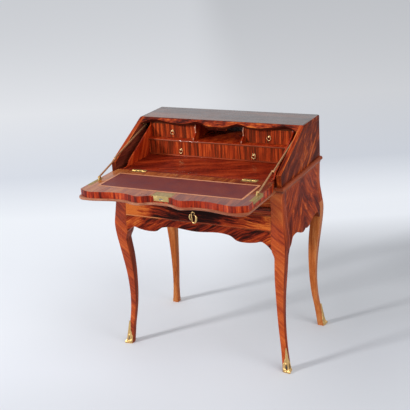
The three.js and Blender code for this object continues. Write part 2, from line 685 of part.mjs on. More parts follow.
function drawerLock() {
  const half = 22;
  const foot = 597;
  const body = block(-half, half, -DRAWER_INNER + GAP, -DRAWER_INNER + 9, foot, LOCK_TOP + 0.4);
  const slotHalf = LOCK_BOLT_HALF + 0.4;
  const slot = block(-slotHalf, slotHalf, -LOCK_BOLT_FRONT - 0.4, -LOCK_BOLT_BACK + 0.4,
    LOCK_BOLT_FOOT - 0.4, LOCK_TOP + 5);
  return cut(body, slot);
}

function runner(side) {
  const y0 = -DEPTH + STILE_FRONT + 2 * GAP;
  const y1 = -STILE_BACK - 2 * GAP;
  const out = INNER_HALF - GAP;
  const reach = 278;
  const foot = 570;
  const guideTop = 632;
  const outline = [
    [reach, foot], [out, foot], [out, guideTop], [BOX_HALF + 1, guideTop],
    [BOX_HALF + 1, BOX_BOTTOM - 0.4], [reach, BOX_BOTTOM - 0.4],
  ].map(([x, z]) => [side * x, z]);
  return alongY(outline, y0, y1);
}

// Upper case
piece('top_board', topBoard(), 'veneer');
piece('top_rail', topRail(), 'veneerLight');
for (const [name, side] of SIDES) {
  piece(`side_panel_${name}`, upperSide(side), 'veneerDark');
}
piece('back_panel', block(-INNER_HALF + GAP, INNER_HALF - GAP, -BACK_THICK, 0,
  WAIST_Z, TOP_UNDERSIDE - GAP), 'carcase');
piece('front_rail', frontRail(), 'veneer');
piece('case_floor', block(-INNER_HALF + GAP, INNER_HALF - GAP, -RAIL_BACK + GAP, -BACK_THICK - GAP,
  WAIST_Z, WAIST_Z + FLOOR_THICK), 'carcase');
piece('waist_moulding', waistMoulding(), 'veneerLight');

// Writing interior
piece('deck', deckBoard(), 'veneer');
for (const [name, side] of SIDES) {
  piece(`cheek_${name}`, cheek(side), 'veneerLight');
  piece(`nest_partition_${name}`, partition(side), 'veneerLight');
}
piece('nest_base', block(-DECK_HALF, DECK_HALF, -LOWER_TIER_FRONT - 2, -BACK_THICK - GAP,
  WRITING_Z + GAP, BASE_TOP), 'veneerLight');
piece('nest_shelf', block(-DECK_HALF, DECK_HALF, -LOWER_TIER_FRONT - 3, -BACK_THICK - GAP,
  SHELF_BOTTOM, SHELF_TOP), 'veneerLight');

const drawerFar = DECK_HALF - 0.7;
const upperNear = PIGEONHOLE_HALF + PARTITION_THICK / 2 + 0.8;
for (const [name, side] of SIDES) {
  const tiers = [
    ['upper', UPPER_TIER_FRONT, upperNear, SHELF_TOP + 0.9, UPPER_DRAWER_TOP, UPPER_PULL],
    ['lower', LOWER_TIER_FRONT, 0.6, BASE_TOP + 0.8, SHELF_BOTTOM - 0.8, LOWER_PULL],
  ];
  piece(`nest_cornice_${name}`, block(...between(side, upperNear, drawerFar),
    -UPPER_TIER_FRONT, -UPPER_TIER_FRONT + 14, UPPER_DRAWER_TOP + 0.8, TOP_UNDERSIDE - GAP), 'veneerLight');
  for (const [tier, front, near, z0, z1, [pullX, pullZ]] of tiers) {
    const ends = between(side, near, drawerFar);
    const drawer = smallDrawer(...ends, front, z0, z1, side * pullX, pullZ);
    piece(`${tier}_drawer_${name}`, drawer, 'veneerLight');
    const ring = piece(`${tier}_ring_${name}`, ringPull(), 'brass');
    ring.position.set(side * pullX, -front - RING_OUT, pullZ);
  }
}

// Flap and what rides on it, placed on the hinge line
const flap = new THREE.Group();
flap.position.set(0, -DEPTH, WRITING_Z);
desk.add(flap);
piece('flap', flapBoard(), 'veneer', flap);
piece('leather_panel', block(-LEATHER_HALF, LEATHER_HALF, -LEATHER_FAR, -LEATHER_NEAR, -LEATHER_THICK, 0),
  'leather', flap);
piece('flap_lock', flapLock(), 'brass', flap);
const boltFront = openingR(0) - FLAP_TOP_GAP - 0.2;
piece('flap_lock_bolt', block(-BOLT_WIDTH / 2, BOLT_WIDTH / 2, -boltFront, -boltFront + 20,
  -BOLT_T - BOLT_THICK / 2, -BOLT_T + BOLT_THICK / 2), 'steel', flap);
for (const [name, side] of SIDES) {
  piece(`hinge_leaf_flap_${name}`, hingeLeaf(side, true), 'brass', flap);
  const caseLeaf = piece(`hinge_leaf_case_${name}`, hingeLeaf(side, false), 'brass');
  caseLeaf.position.set(0, -DEPTH, WRITING_Z);
}

// Stays: foot on the flap, two links in line while the flap is open
const footPivot = new THREE.Vector2(-DEPTH - STAY_FOOT_R, WRITING_Z + STAY_FOOT_UP);
const casePivot = new THREE.Vector2(-STAY_CASE_Y, STAY_CASE_Z);
const closedFoot = new THREE.Vector2(
  -DEPTH + STAY_FOOT_R * Math.cos(SLOPE) + STAY_FOOT_UP * Math.sin(SLOPE),
  WRITING_Z + STAY_FOOT_R * Math.sin(SLOPE) - STAY_FOOT_UP * Math.cos(SLOPE));
// Lengths that let the stay fold flat, the upper link over the lower, on the closed flap
const openSpan = footPivot.distanceTo(casePivot);
const lowerLength = (openSpan - closedFoot.distanceTo(casePivot)) / 2;
const elbow = footPivot.clone().lerp(casePivot, lowerLength / openSpan);

function stayFoot(side) {
  const ear = new THREE.Shape();
  ear.moveTo(-STAY_FOOT_R - 11, -1);
  ear.lineTo(-STAY_FOOT_R + 11, -1);
  ear.lineTo(-STAY_FOOT_R + 5, STAY_FOOT_UP + 1);
  ear.absarc(-STAY_FOOT_R, STAY_FOOT_UP, 5, 0.2, Math.PI - 0.2);
  ear.lineTo(-STAY_FOOT_R - 5, STAY_FOOT_UP + 1);
  const lug = alongX(ear, ...between(side, STAY_FOOT_X, LOWER_LINK_X - GAP));
  return join(stayPlate(side, FLAP_HALF - 0.1, 0), lug);
}

for (const [name, side] of SIDES) {
  const left = side < 0;
  piece(`stay_foot_${name}`, stayFoot(side), 'brass', flap);
  const lowerX = left ? -LOWER_LINK_X - LINK_THICK : LOWER_LINK_X;
  const upperX = left ? -UPPER_LINK_X - LINK_THICK : UPPER_LINK_X;
  piece(`stay_lower_${name}`, link(footPivot, elbow, lowerX), 'brass');
  const bar = link(elbow, casePivot, upperX);
  const pin = new THREE.Shape();
  pin.absarc(casePivot.x, casePivot.y, 3, 0, Math.PI * 2);
  const pinSpan = left ? [-INNER_HALF + GAP, upperX + 1] : [upperX + LINK_THICK - 1, INNER_HALF - GAP];
  piece(`stay_upper_${name}`, join(bar, alongX(pin, ...pinSpan)), 'brass');
}

// Legs and their shoes
for (const [place, sy] of [['front', -1], ['back', 1]]) {
  for (const [name, sx] of SIDES) {
    piece(`leg_${place}_${name}`, leg(sx, sy), 'veneerLight');
    piece(`shoe_${place}_${name}`, shoe(sx, sy), 'gilt');
  }
}

// Lower case
for (const [name, side] of SIDES) {
  piece(`lower_side_${name}`, lowerSide(side), 'veneerDark');
  piece(`drawer_runner_${name}`, runner(side), 'carcase');
}
const backHalf = HALF_WIDTH - STILE_BACK - GAP;
piece('lower_back', block(-backHalf, backHalf, -14, -3, 546, WAIST_Z - GAP), 'carcase');
piece('fascia_panel', block(-STILE_INNER + GAP, STILE_INNER - GAP, -DEPTH + 8, -DEPTH + 22,
  FASCIA_BOTTOM, WAIST_Z - GAP), 'veneer');
piece('drawer_rail', drawerRail(), 'veneer');
piece('front_apron', frontApron(), 'veneer');

// Frieze drawer
piece('drawer_front', drawerFront(), 'veneer');
piece('drawer_box', drawerBox(), 'carcase');
piece('escutcheon', escutcheon(), 'gilt');
piece('drawer_lock', drawerLock(), 'brass');
piece('drawer_lock_bolt', block(-LOCK_BOLT_HALF, LOCK_BOLT_HALF, -LOCK_BOLT_FRONT, -LOCK_BOLT_BACK,
  LOCK_BOLT_FOOT, LOCK_TOP), 'steel');

// The desk stands with its box centred over the origin
desk.updateMatrixWorld(true);
const extent = new THREE.Box3().setFromObject(desk, true);
desk.position.y = -(extent.min.y + extent.max.y) / 2;
desk.updateMatrixWorld(true);

export default desk;
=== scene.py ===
# %% [markdown]
# # A slant-front desk in polished veneer
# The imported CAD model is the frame: it says where each part is and how it moves. This
# notebook dresses it. Flat boards keep their CAD shape with eased edges, and the curved,
# moulded and gilt pieces are built again here with finer surfaces.

# %% Load the frame
import math

import bmesh
import bpy
from mathutils import Matrix, Vector


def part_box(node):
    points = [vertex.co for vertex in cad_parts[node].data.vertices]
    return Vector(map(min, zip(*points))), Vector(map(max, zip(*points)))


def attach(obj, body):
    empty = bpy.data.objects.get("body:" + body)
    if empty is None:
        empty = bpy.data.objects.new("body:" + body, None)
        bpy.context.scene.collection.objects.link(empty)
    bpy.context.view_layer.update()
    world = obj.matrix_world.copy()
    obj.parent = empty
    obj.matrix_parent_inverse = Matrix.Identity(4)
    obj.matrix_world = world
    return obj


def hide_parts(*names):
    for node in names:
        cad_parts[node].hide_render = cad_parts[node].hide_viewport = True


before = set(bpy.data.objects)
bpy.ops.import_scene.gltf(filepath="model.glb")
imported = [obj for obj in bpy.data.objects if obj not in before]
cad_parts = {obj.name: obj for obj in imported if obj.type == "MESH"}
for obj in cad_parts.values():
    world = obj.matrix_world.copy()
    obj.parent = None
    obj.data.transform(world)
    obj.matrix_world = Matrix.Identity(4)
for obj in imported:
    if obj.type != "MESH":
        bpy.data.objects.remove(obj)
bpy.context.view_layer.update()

MM = 0.001

# %% [markdown]
# The desk was drawn in millimetres with Y = 0 at the back of the case, so the pieces made
# here use the same numbers and one function moves them into the frame's metres.

# %% Desk measurements shared by several pieces
BACK_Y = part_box("side_panel_left")[1].y
HALF_WIDTH, DEPTH, HEIGHT = 357, 423, 920
TOP_DEPTH, SHOULDER_Z, WRITING_Z, WAIST_Z = 173, 797, 770, 727
INNER_HALF, GAP = 339, 0.3
STILE_FRONT, STILE_BACK, STILE_FOOT_Z = 46, 36, 510
LEG_HEAD_Z, LEG_HEAD_IN = 470, 36
SLOPE = math.atan2(HEIGHT - SHOULDER_Z, DEPTH - TOP_DEPTH)
SIDES = (("left", -1), ("right", 1))


def place(x, y, z):
    return Vector((x * MM, BACK_Y + y * MM, z * MM))


def steps(first, last, count):
    return [first + (last - first) * i / count for i in range(count + 1)]


print("back of the case at y =", round(BACK_Y, 4))

# %% [markdown]
# The photograph was taken from above and to the right with a fairly long lens, and the
# picture leans a little. The camera is set from those measured angles.

# %% Camera
AZIMUTH, ELEVATION, ROLL = (math.radians(d) for d in (27.36, 19.37, -3.79))
CAMERA_DISTANCE = 3.5168
CAMERA_TARGET = Vector((-0.07152, BACK_Y - 0.200, 0.56782))
away = Vector((math.sin(AZIMUTH) * math.cos(ELEVATION),
               -math.cos(AZIMUTH) * math.cos(ELEVATION), math.sin(ELEVATION)))
level_right = (-away).cross(Vector((0, 0, 1))).normalized()
level_up = level_right.cross(-away)
picture_right = level_right * math.cos(ROLL) + level_up * math.sin(ROLL)
picture_up = level_up * math.cos(ROLL) - level_right * math.sin(ROLL)
camera = bpy.data.objects.new("camera", bpy.data.cameras.new("camera"))
bpy.context.scene.collection.objects.link(camera)
camera.data.lens = 75.36
camera.data.sensor_width = 36
camera.data.clip_end = 60
camera.matrix_world = Matrix.Translation(CAMERA_TARGET + away * CAMERA_DISTANCE) @ Matrix(
    (picture_right, picture_up, away)).transposed().to_4x4()
bpy.context.scene.camera = camera
print("camera at", [round(v, 3) for v in camera.matrix_world.translation])

# %% [markdown]
# Colours are written as the eye sees them, in sRGB, and one function turns them to the
# linear values that the shader works in. A second small function adds a node with its
# settings and links, which keeps each material down to the ideas in it.

# %% Colour and node helpers
def linear(colour):
    values = [int(colour[i:i + 2], 16) / 255 for i in (1, 3, 5)]
    return [v / 12.92 if v <= 0.04045 else ((v + 0.055) / 1.055) ** 2.4 for v in values] + [1]


def add(tree, kind, inputs=None, tones=None, **settings):
    made = tree.nodes.new(kind)
    for key, value in settings.items():
        setattr(made, key, value)
    for socket, value in (inputs or {}).items():
        if isinstance(value, bpy.types.NodeSocket):
            tree.links.new(value, made.inputs[socket])
        else:
            made.inputs[socket].default_value = value
    if tones:
        stops = made.color_ramp.elements
        while len(stops) < len(tones):
            stops.new(0.5)
        for stop, (position, colour) in zip(stops, tones):
            stop.position = position
            stop.color = linear(colour) if isinstance(colour, str) else [colour] * 3 + [1]
    return made


def new_material(name):
    material = bpy.data.materials.new(name)
    material.use_nodes = True
    material.node_tree.nodes.clear()
    return material


print("mid red-brown in linear:", [round(v, 3) for v in linear("#8a2a15")[:3]])

# %% [markdown]
# The studio is a seamless pale floor, a pale surround and one lamp low on the left front,
# which throws the long soft shadows of the legs. Camera and glossy rays see the surround
# at full strength and the object is lit by a plainer level of it.

# %% Floor, surround and lamps
def build_floor():
    material = new_material("studio_floor_paper_painted_shade")
    tree = material.node_tree
    where = add(tree, "ShaderNodeTexCoord")
    depth = add(tree, "ShaderNodeVectorMath", {
        0: where.outputs["Object"], 1: (-math.sin(AZIMUTH), math.cos(AZIMUTH), 0)},
        operation="DOT_PRODUCT")
    right = add(tree, "ShaderNodeVectorMath", {
        0: where.outputs["Object"], 1: tuple(level_right)}, operation="DOT_PRODUCT")
    far = add(tree, "ShaderNodeMapRange", {
        "Value": depth.outputs["Value"], "From Min": -1, "From Max": 7})
    # Painted light and shade on the floor: its colour is darker near the camera and lighter further
    # back, as the lamp's light falls off across it.
    colour = add(tree, "ShaderNodeValToRGB", {"Fac": far.outputs[0]}, tones=[
        (0.0, "#cdd0d5"), (0.055, "#d2d5da"), (0.11, "#e0e3e9"), (0.16, "#e7eaef"),
        (0.24, "#ebeef3"), (0.34, "#f3f6fa"), (0.45, "#e2e6ed"), (0.7, "#fcfdff")])
    # Painted shade: towards the right the floor is mixed with dark grey, most in a band at middle
    # distance.
    painted_shade_right = add(tree, "ShaderNodeValToRGB", {"Fac": far.outputs[0]}, tones=[
        (0.05, 0.12), (0.15, 0.42), (0.24, 0.40), (0.3, 0.0), (0.38, 0.0), (0.45, 0.06), (0.7, 0.14)])

    painted_shade_weight = add(tree, "ShaderNodeMapRange", {
        "Value": right.outputs["Value"], "From Min": -0.1, "From Max": 0.65,
        "To Max": painted_shade_right.outputs["Color"]}, interpolation_type="SMOOTHSTEP")
    floor_with_painted_shade = add(tree, "ShaderNodeMix", {
        "Factor": painted_shade_weight.outputs[0], 6: colour.outputs["Color"], 7: linear("#3c3a38")},
        data_type="RGBA")
    shade = add(tree, "ShaderNodeBsdfDiffuse", {"Color": floor_with_painted_shade.outputs[2]})
    add(tree, "ShaderNodeOutputMaterial", {"Surface": shade.outputs[0]})
    half = 14
    mesh = bpy.data.meshes.new("studio_floor")
    mesh.from_pydata([(-half, -half, 0), (half, -half, 0), (half, half, 0), (-half, half, 0)],
                     [], [(0, 1, 2, 3)])
    mesh.materials.append(material)
    floor = bpy.data.objects.new("studio_floor", mesh)
    bpy.context.scene.collection.objects.link(floor)


def build_world():
    world = bpy.data.worlds.new("studio")
    world.use_nodes = True
    tree = world.node_tree
    tree.nodes.clear()
    seen = add(tree, "ShaderNodeLightPath")
    camera_or_glossy = add(tree, "ShaderNodeMath", {
        0: seen.outputs["Is Camera Ray"], 1: seen.outputs["Is Glossy Ray"]}, operation="MAXIMUM")
    shown = add(tree, "ShaderNodeMath", {
        0: camera_or_glossy.outputs[0], 1: seen.outputs["Is Transmission Ray"]},
        operation="MAXIMUM")
    light = add(tree, "ShaderNodeBackground", {"Color": linear("#f4f6fa"), "Strength": 0.66})
    surround = add(tree, "ShaderNodeBackground", {"Color": linear("#e9ecf1"), "Strength": 0.95})
    mix = add(tree, "ShaderNodeMixShader", {
        0: shown.outputs[0], 1: light.outputs[0], 2: surround.outputs[0]})
    add(tree, "ShaderNodeOutputWorld", {"Surface": mix.outputs[0]})
    bpy.context.scene.world = world


def add_lamp(name, towards, distance, size, power):
    lamp = bpy.data.lights.new(name, "AREA")
    lamp.shape = "DISK"
    lamp.size = size
    lamp.energy = power
    holder = bpy.data.objects.new(name, lamp)
    bpy.context.scene.collection.objects.link(holder)
    aim = Vector(towards).normalized()
    holder.location = Vector((0, BACK_Y - 0.297, 0.55)) + aim * distance
    holder.rotation_euler = aim.to_track_quat("Z", "Y").to_euler()
    return holder


KEY_TURN, KEY_HEIGHT = math.radians(49.5), math.radians(20)
key_way = (-math.cos(KEY_TURN) * math.cos(KEY_HEIGHT), -math.sin(KEY_TURN) * math.cos(KEY_HEIGHT),
           math.sin(KEY_HEIGHT))
build_floor()
build_world()
key_lamp = add_lamp("key_lamp", key_way, 8.5, 1.3, 505)
fill_lamp = add_lamp("fill_lamp", (0.5, -0.35, 1.0), 4.0, 2.2, 36)
side_lamp = add_lamp("side_lamp", (1.0, -0.25, 0.32), 4.5, 2.8, 60)
bpy.context.scene.view_settings.view_transform = "Standard"
print("key lamp", [round(v, 2) for v in key_lamp.location])

# %% [markdown]
# The desk is veneered in rosewood and tulipwood, sawn or knife-cut sheets under a French
# polish of many rubbed coats of shellac. Three patterns laid over each other make the
# wood: broad bands of light and dark figure, narrow growth streaks along the grain, and
# short dark pores. Each is a noise stretched along the grain by real millimetre sizes, and
# a slow warp bends the streaks as a growing tree does.

# %% Wood grain as nodes
def grain(tree, where, turn, tones, streak=3.2, figure=24, length=260, warp=7, soft=0.11,
          drift=None):
    """Colour and relief of wood whose grain runs along the X axis of the turned frame."""
    bend = add(tree, "ShaderNodeTexNoise", {"Vector": where, "Scale": 1 / (110 * MM), "Detail": 1})
    centred = add(tree, "ShaderNodeVectorMath", {0: bend.outputs["Color"], 1: (0.5, 0.5, 0.5)},
                  operation="SUBTRACT")
    warped = add(tree, "ShaderNodeVectorMath", {
        0: centred.outputs[0], 1: (2 * warp * MM,) * 3, 2: where}, operation="MULTIPLY_ADD")
    total = None
    for across, along, detail, weight in ((figure, length * 1.3, 2.0, 0.44),
                                          (streak, length, 3.0, 0.42), (0.6, 18, 1.0, 0.14)):
        laid = add(tree, "ShaderNodeMapping", {
            "Vector": warped.outputs[0], "Rotation": turn,
            "Scale": (along * MM, across * MM, across * MM)}, vector_type="TEXTURE")
        pattern = add(tree, "ShaderNodeTexNoise", {
            "Vector": laid.outputs[0], "Scale": 1, "Detail": detail, "Roughness": 0.55})
        total = add(tree, "ShaderNodeMath", {
            0: pattern.outputs["Fac"], 1: weight, 2: total.outputs[0] if total else 0.0},
            operation="MULTIPLY_ADD")
    if drift:
        total = add(tree, "ShaderNodeMath", {0: total.outputs[0], 1: drift}, operation="ADD")
    spread = add(tree, "ShaderNodeMapRange", {
        "Value": total.outputs[0], "From Min": 0.5 - soft, "From Max": 0.5 + soft})
    colour = add(tree, "ShaderNodeValToRGB", {"Fac": spread.outputs[0]}, tones=tones)
    pore_laid = add(tree, "ShaderNodeMapping", {
        "Vector": warped.outputs[0], "Rotation": turn,
        "Scale": (7 * MM, 0.5 * MM, 0.5 * MM)}, vector_type="TEXTURE")
    pore = add(tree, "ShaderNodeTexNoise", {
        "Vector": pore_laid.outputs[0], "Scale": 1, "Detail": 0})
    open_pore = add(tree, "ShaderNodeMapRange", {
        "Value": pore.outputs["Fac"], "From Min": 0.62, "From Max": 0.72})
    half_dark = add(tree, "ShaderNodeMath", {0: open_pore.outputs[0], 1: 0.45},
                    operation="MULTIPLY")
    darkened = add(tree, "ShaderNodeMix", {
        "Factor": half_dark.outputs[0], 6: colour.outputs["Color"], 7: linear("#1d0a06")},
        data_type="RGBA")
    return darkened.outputs[2], open_pore.outputs[0]


def folded(tree, where, centre):
    """Coordinates mirrored about a plane, as two leaves of veneer opened like a book."""
    moved = add(tree, "ShaderNodeVectorMath", {0: where, 1: centre}, operation="SUBTRACT")
    return add(tree, "ShaderNodeVectorMath", {0: moved.outputs[0]}, operation="ABSOLUTE").outputs[0]


def polish(material, colour, relief, gloss, specular, roughness, worn="#b0663a"):
    """French polish: a clear coat, flatter where it is kept up and thinner on the corners."""
    tree = material.node_tree
    where = add(tree, "ShaderNodeTexCoord").outputs["Object"]
    shape = add(tree, "ShaderNodeNewGeometry")
    edge = add(tree, "ShaderNodeMapRange", {
        "Value": shape.outputs["Pointiness"], "From Min": 0.53, "From Max": 0.64, "To Max": 0.35})
    rubbed = add(tree, "ShaderNodeMix", {
        "Factor": edge.outputs[0], 6: colour, 7: linear(worn)}, data_type="RGBA")
    handled = add(tree, "ShaderNodeTexNoise", {
        "Vector": where, "Scale": 1 / (45 * MM), "Detail": 3, "Roughness": 0.6})
    dulled = add(tree, "ShaderNodeMapRange", {
        "Value": handled.outputs["Fac"], "From Min": 0.3, "From Max": 0.7,
        "To Min": roughness - 0.05, "To Max": roughness + 0.08})
    pores = add(tree, "ShaderNodeBump", {
        "Height": relief, "Strength": 0.35, "Distance": 0.06 * MM}, invert=True)
    wave = add(tree, "ShaderNodeTexNoise", {
        "Vector": where, "Scale": 1 / (28 * MM), "Detail": 1})
    waved = add(tree, "ShaderNodeBump", {
        "Height": wave.outputs["Fac"], "Strength": 1, "Distance": 0.05 * MM})
    shade = add(tree, "ShaderNodeBsdfPrincipled", {
        "Base Color": rubbed.outputs[2], "Roughness": dulled.outputs[0], "IOR": 1.5,
        "Specular IOR Level": specular, "Normal": pores.outputs[0], "Coat Weight": gloss,
        "Coat IOR": 1.5, "Coat Roughness": 0.08, "Coat Normal": waved.outputs[0]})
    add(tree, "ShaderNodeOutputMaterial", {"Surface": shade.outputs[0]})
    return material


# %% Woods and how each veneer is laid
TULIPWOOD = [(0.0, "#541708"), (0.3, "#86290e"), (0.55, "#a84117"), (0.8, "#bc5a24"),
             (1.0, "#cc7a3e")]
ROSEWOOD = [(0.0, "#1e0805"), (0.28, "#48130a"), (0.52, "#7a2410"), (0.78, "#a03d18"),
            (1.0, "#c4662a")]
DARK_ROSEWOOD = [(0.0, "#3a1008"), (0.35, "#541b0c"), (0.65, "#6f2810"), (0.85, "#963e14"),
                 (1.0, "#b4561c")]
TOP_WOOD = [(0.0, "#2c140b"), (0.5, "#45220f"), (1.0, "#643820")]
BORDER_WOOD = [(0.0, "#6a2410"), (0.4, "#8a3c18"), (0.7, "#a05224"), (1.0, "#b06a38")]
CHEEK = [(0.0, "#6a1407"), (0.5, "#a02c0e"), (1.0, "#c4501e")]
LEG_WOOD = [(0.0, "#6c1f0c"), (0.3, "#963612"), (0.6, "#b04a18"), (1.0, "#c8662c")]
STRIPED = [(0.0, "#480e06"), (0.3, "#741c0a"), (0.55, "#96290d"), (0.8, "#ab3a14"),
           (1.0, "#c25222")]
DEEP_RED = [(0.0, "#460d05"), (0.35, "#6b1709"), (0.65, "#88260e"), (1.0, "#a43c1a")]
STAINED = [(0.0, "#48160d"), (0.5, "#66271a"), (1.0, "#833a26")]
PLAIN_WOOD = [(0.0, "#8a3f1a"), (0.35, "#a25426"), (0.7, "#b46634"), (1.0, "#c07c48")]
LIP_WOOD = [(0.0, "#8a4c34"), (0.5, "#a4684c"), (1.0, "#bc8468")]
BOXWOOD = [(0.0, "#b8744c"), (0.5, "#d08a62"), (1.0, "#e0a47e")]
OAK = [(0.0, "#5c3d22"), (0.4, "#7d5833"), (0.75, "#967047"), (1.0, "#a98357")]

veneers = {}


def veneer(name, tones, turn, gloss=0.0, specular=0.14, roughness=0.3, fold=None, fade=None,
           **sizes):
    """Polished veneer with its grain turned by three angles in degrees; made once per name."""
    if name not in veneers:
        material = new_material(name)
        tree = material.node_tree
        where = add(tree, "ShaderNodeTexCoord").outputs["Object"]
        if fold:
            where = folded(tree, where, fold)
        if fade:
            split = add(tree, "ShaderNodeSeparateXYZ", {0: where})
            place_x = add(tree, "ShaderNodeMapRange", {
                "Value": split.outputs["X"], "From Min": -0.36, "From Max": 0.36})
            level = add(tree, "ShaderNodeValToRGB", {"Fac": place_x.outputs[0]}, tones=[
                ((x + 360) / 720, 0.5 + shift) for x, shift in fade])
            sizes["drift"] = add(tree, "ShaderNodeMath", {
                0: level.outputs["Color"], 1: 0.5}, operation="SUBTRACT").outputs[0]
        colour, relief = grain(tree, where, [math.radians(a) for a in turn], tones, **sizes)
        veneers[name] = polish(material, colour, relief, gloss, specular, roughness)
    return veneers[name]


# Turns that lay the grain along each direction of the desk
ALONG_X, ALONG_Y, ALONG_Z = (0, 0, 0), (0, 0, 90), (0, 90, 0)
SIDE_MIDDLE = (0, BACK_Y - 0.2115, 0)
tulip_upright = veneer("tulipwood_upright_french_polished", TULIPWOOD, ALONG_Z)
tulip_leg = veneer("tulipwood_diagonal_french_polished", LEG_WOOD, (0, 38, 0), specular=0.2,
                   fade=[(-340, -0.035), (-250, -0.01), (250, 0.0), (345, 0.03)], figure=56, streak=8,
                   length=300, warp=12, soft=0.13)
rose_long = veneer("rosewood_lengthwise_french_polished", ROSEWOOD, ALONG_X)
top_figure = veneer("rosewood_top_french_polished", TOP_WOOD, ALONG_X, gloss=0.65,
                    specular=0.1, figure=40, streak=6)
deep_red = veneer("rosewood_red_lengthwise_french_polished", DEEP_RED, ALONG_X)
deck_red = veneer("rosewood_deck_high_polish", DEEP_RED, (0, 0, 24), gloss=0.2, specular=0.05,
                  figure=60, warp=16, soft=0.09)
MOULDING_WOOD = [(0.0, "#561a0e"), (0.5, "#7c301c"), (1.0, "#9c482c")]
rose_deep = veneer("rosewood_front_to_back_french_polished", MOULDING_WOOD, ALONG_Y,
                   specular=0.03, figure=30, streak=6, soft=0.16)
drawer_striped = veneer("tulipwood_striped_upright_french_polished", STRIPED, ALONG_Z,
                        specular=0.04, streak=4, figure=11, length=240, warp=3, soft=0.075,
                        fade=[(-339, 0), (0, 0), (120, -0.045), (339, -0.02)])
SIDE_LEG_WOOD = [(0.0, "#5a160c"), (0.5, "#883418"), (1.0, "#ac4c24")]
side_leg = veneer("rosewood_dark_upright_french_polished", SIDE_LEG_WOOD, (8, 84, 0),
                  specular=0.02, figure=40, streak=8)
plain_leg = veneer("tulipwood_plain_upright_polished", PLAIN_WOOD, ALONG_Z, specular=0.06,
                   figure=34)
inner_leg = veneer("tulipwood_leg_inside_polished", SIDE_LEG_WOOD, ALONG_Z, specular=0.06,
                   figure=34)
boxwood = veneer("boxwood_stringing_polished", BOXWOOD, ALONG_X, streak=1.5, figure=10)
stained = veneer("beech_stained_red_brown", STAINED, ALONG_Y, specular=0.1, roughness=0.45)
print("veneers:", len(veneers))

# %% [markdown]
# The metals: old brass with its lacquer half gone, which browns in the hollows; cast bronze
# gilded with mercury, bright on the high points and dark where the patina stayed; and plain
# filed steel for the lock bolts. All are metallic with a middling roughness, and the colour
# is the metal's own reflection.

# %% Metals
def metal(name, bright, dull, roughness, patch_mm, bump_mm, patina=0.5):
    material = new_material(name)
    tree = material.node_tree
    where = add(tree, "ShaderNodeTexCoord").outputs["Object"]
    stain = add(tree, "ShaderNodeTexNoise", {
        "Vector": where, "Scale": 1 / (patch_mm * MM), "Detail": 5, "Roughness": 0.65})
    hollow = add(tree, "ShaderNodeNewGeometry")
    sunk = add(tree, "ShaderNodeMapRange", {
        "Value": hollow.outputs["Pointiness"], "From Min": 0.50, "From Max": 0.42})
    dark = add(tree, "ShaderNodeMapRange", {
        "Value": stain.outputs["Fac"], "From Min": 0.42, "From Max": 0.72, "To Max": patina})
    both = add(tree, "ShaderNodeMath", {0: sunk.outputs[0], 1: dark.outputs[0]},
               operation="MAXIMUM")
    colour = add(tree, "ShaderNodeMix", {
        "Factor": both.outputs[0], 6: linear(bright), 7: linear(dull)}, data_type="RGBA")
    rough = add(tree, "ShaderNodeMapRange", {
        "Value": both.outputs[0], "To Min": roughness, "To Max": roughness + 0.25})
    fine = add(tree, "ShaderNodeTexNoise", {
        "Vector": where, "Scale": 1 / (0.8 * MM), "Detail": 2})
    surface = add(tree, "ShaderNodeBump", {
        "Height": fine.outputs["Fac"], "Strength": 0.5, "Distance": bump_mm * MM})
    shade = add(tree, "ShaderNodeBsdfPrincipled", {
        "Base Color": colour.outputs[2], "Metallic": 1.0, "Roughness": rough.outputs[0],
        "Normal": surface.outputs[0]})
    add(tree, "ShaderNodeOutputMaterial", {"Surface": shade.outputs[0]})
    return material


brass = metal("brass_old_lacquered", "#b8985a", "#5a4422", 0.34, 9, 0.04)
foot_brass = metal("brass_let_in_rubbed", "#b49862", "#5e4a24", 0.55, 11, 0.05)
stay_brass = metal("brass_stays_browned", "#c8966a", "#6a4022", 0.5, 12, 0.05)
ring_brass = metal("brass_rings_handled", "#e6c48c", "#80603a", 0.36, 6, 0.03, patina=0.3)
gilt = metal("bronze_mercury_gilt", "#deb87a", "#543c14", 0.34, 8, 0.06, patina=0.3)
steel = metal("steel_filed", "#9a958a", "#55493a", 0.38, 5, 0.05)
print("metals:", brass.name, gilt.name, steel.name)

# %% [markdown]
# The writing surface is a skiver, thin split sheepskin dyed burgundy and waxed. Its grain is
# a pattern of small pebbles about a millimetre wide, so a Voronoi layer makes the creases
# and a slow noise gives the handled, slightly faded patches.

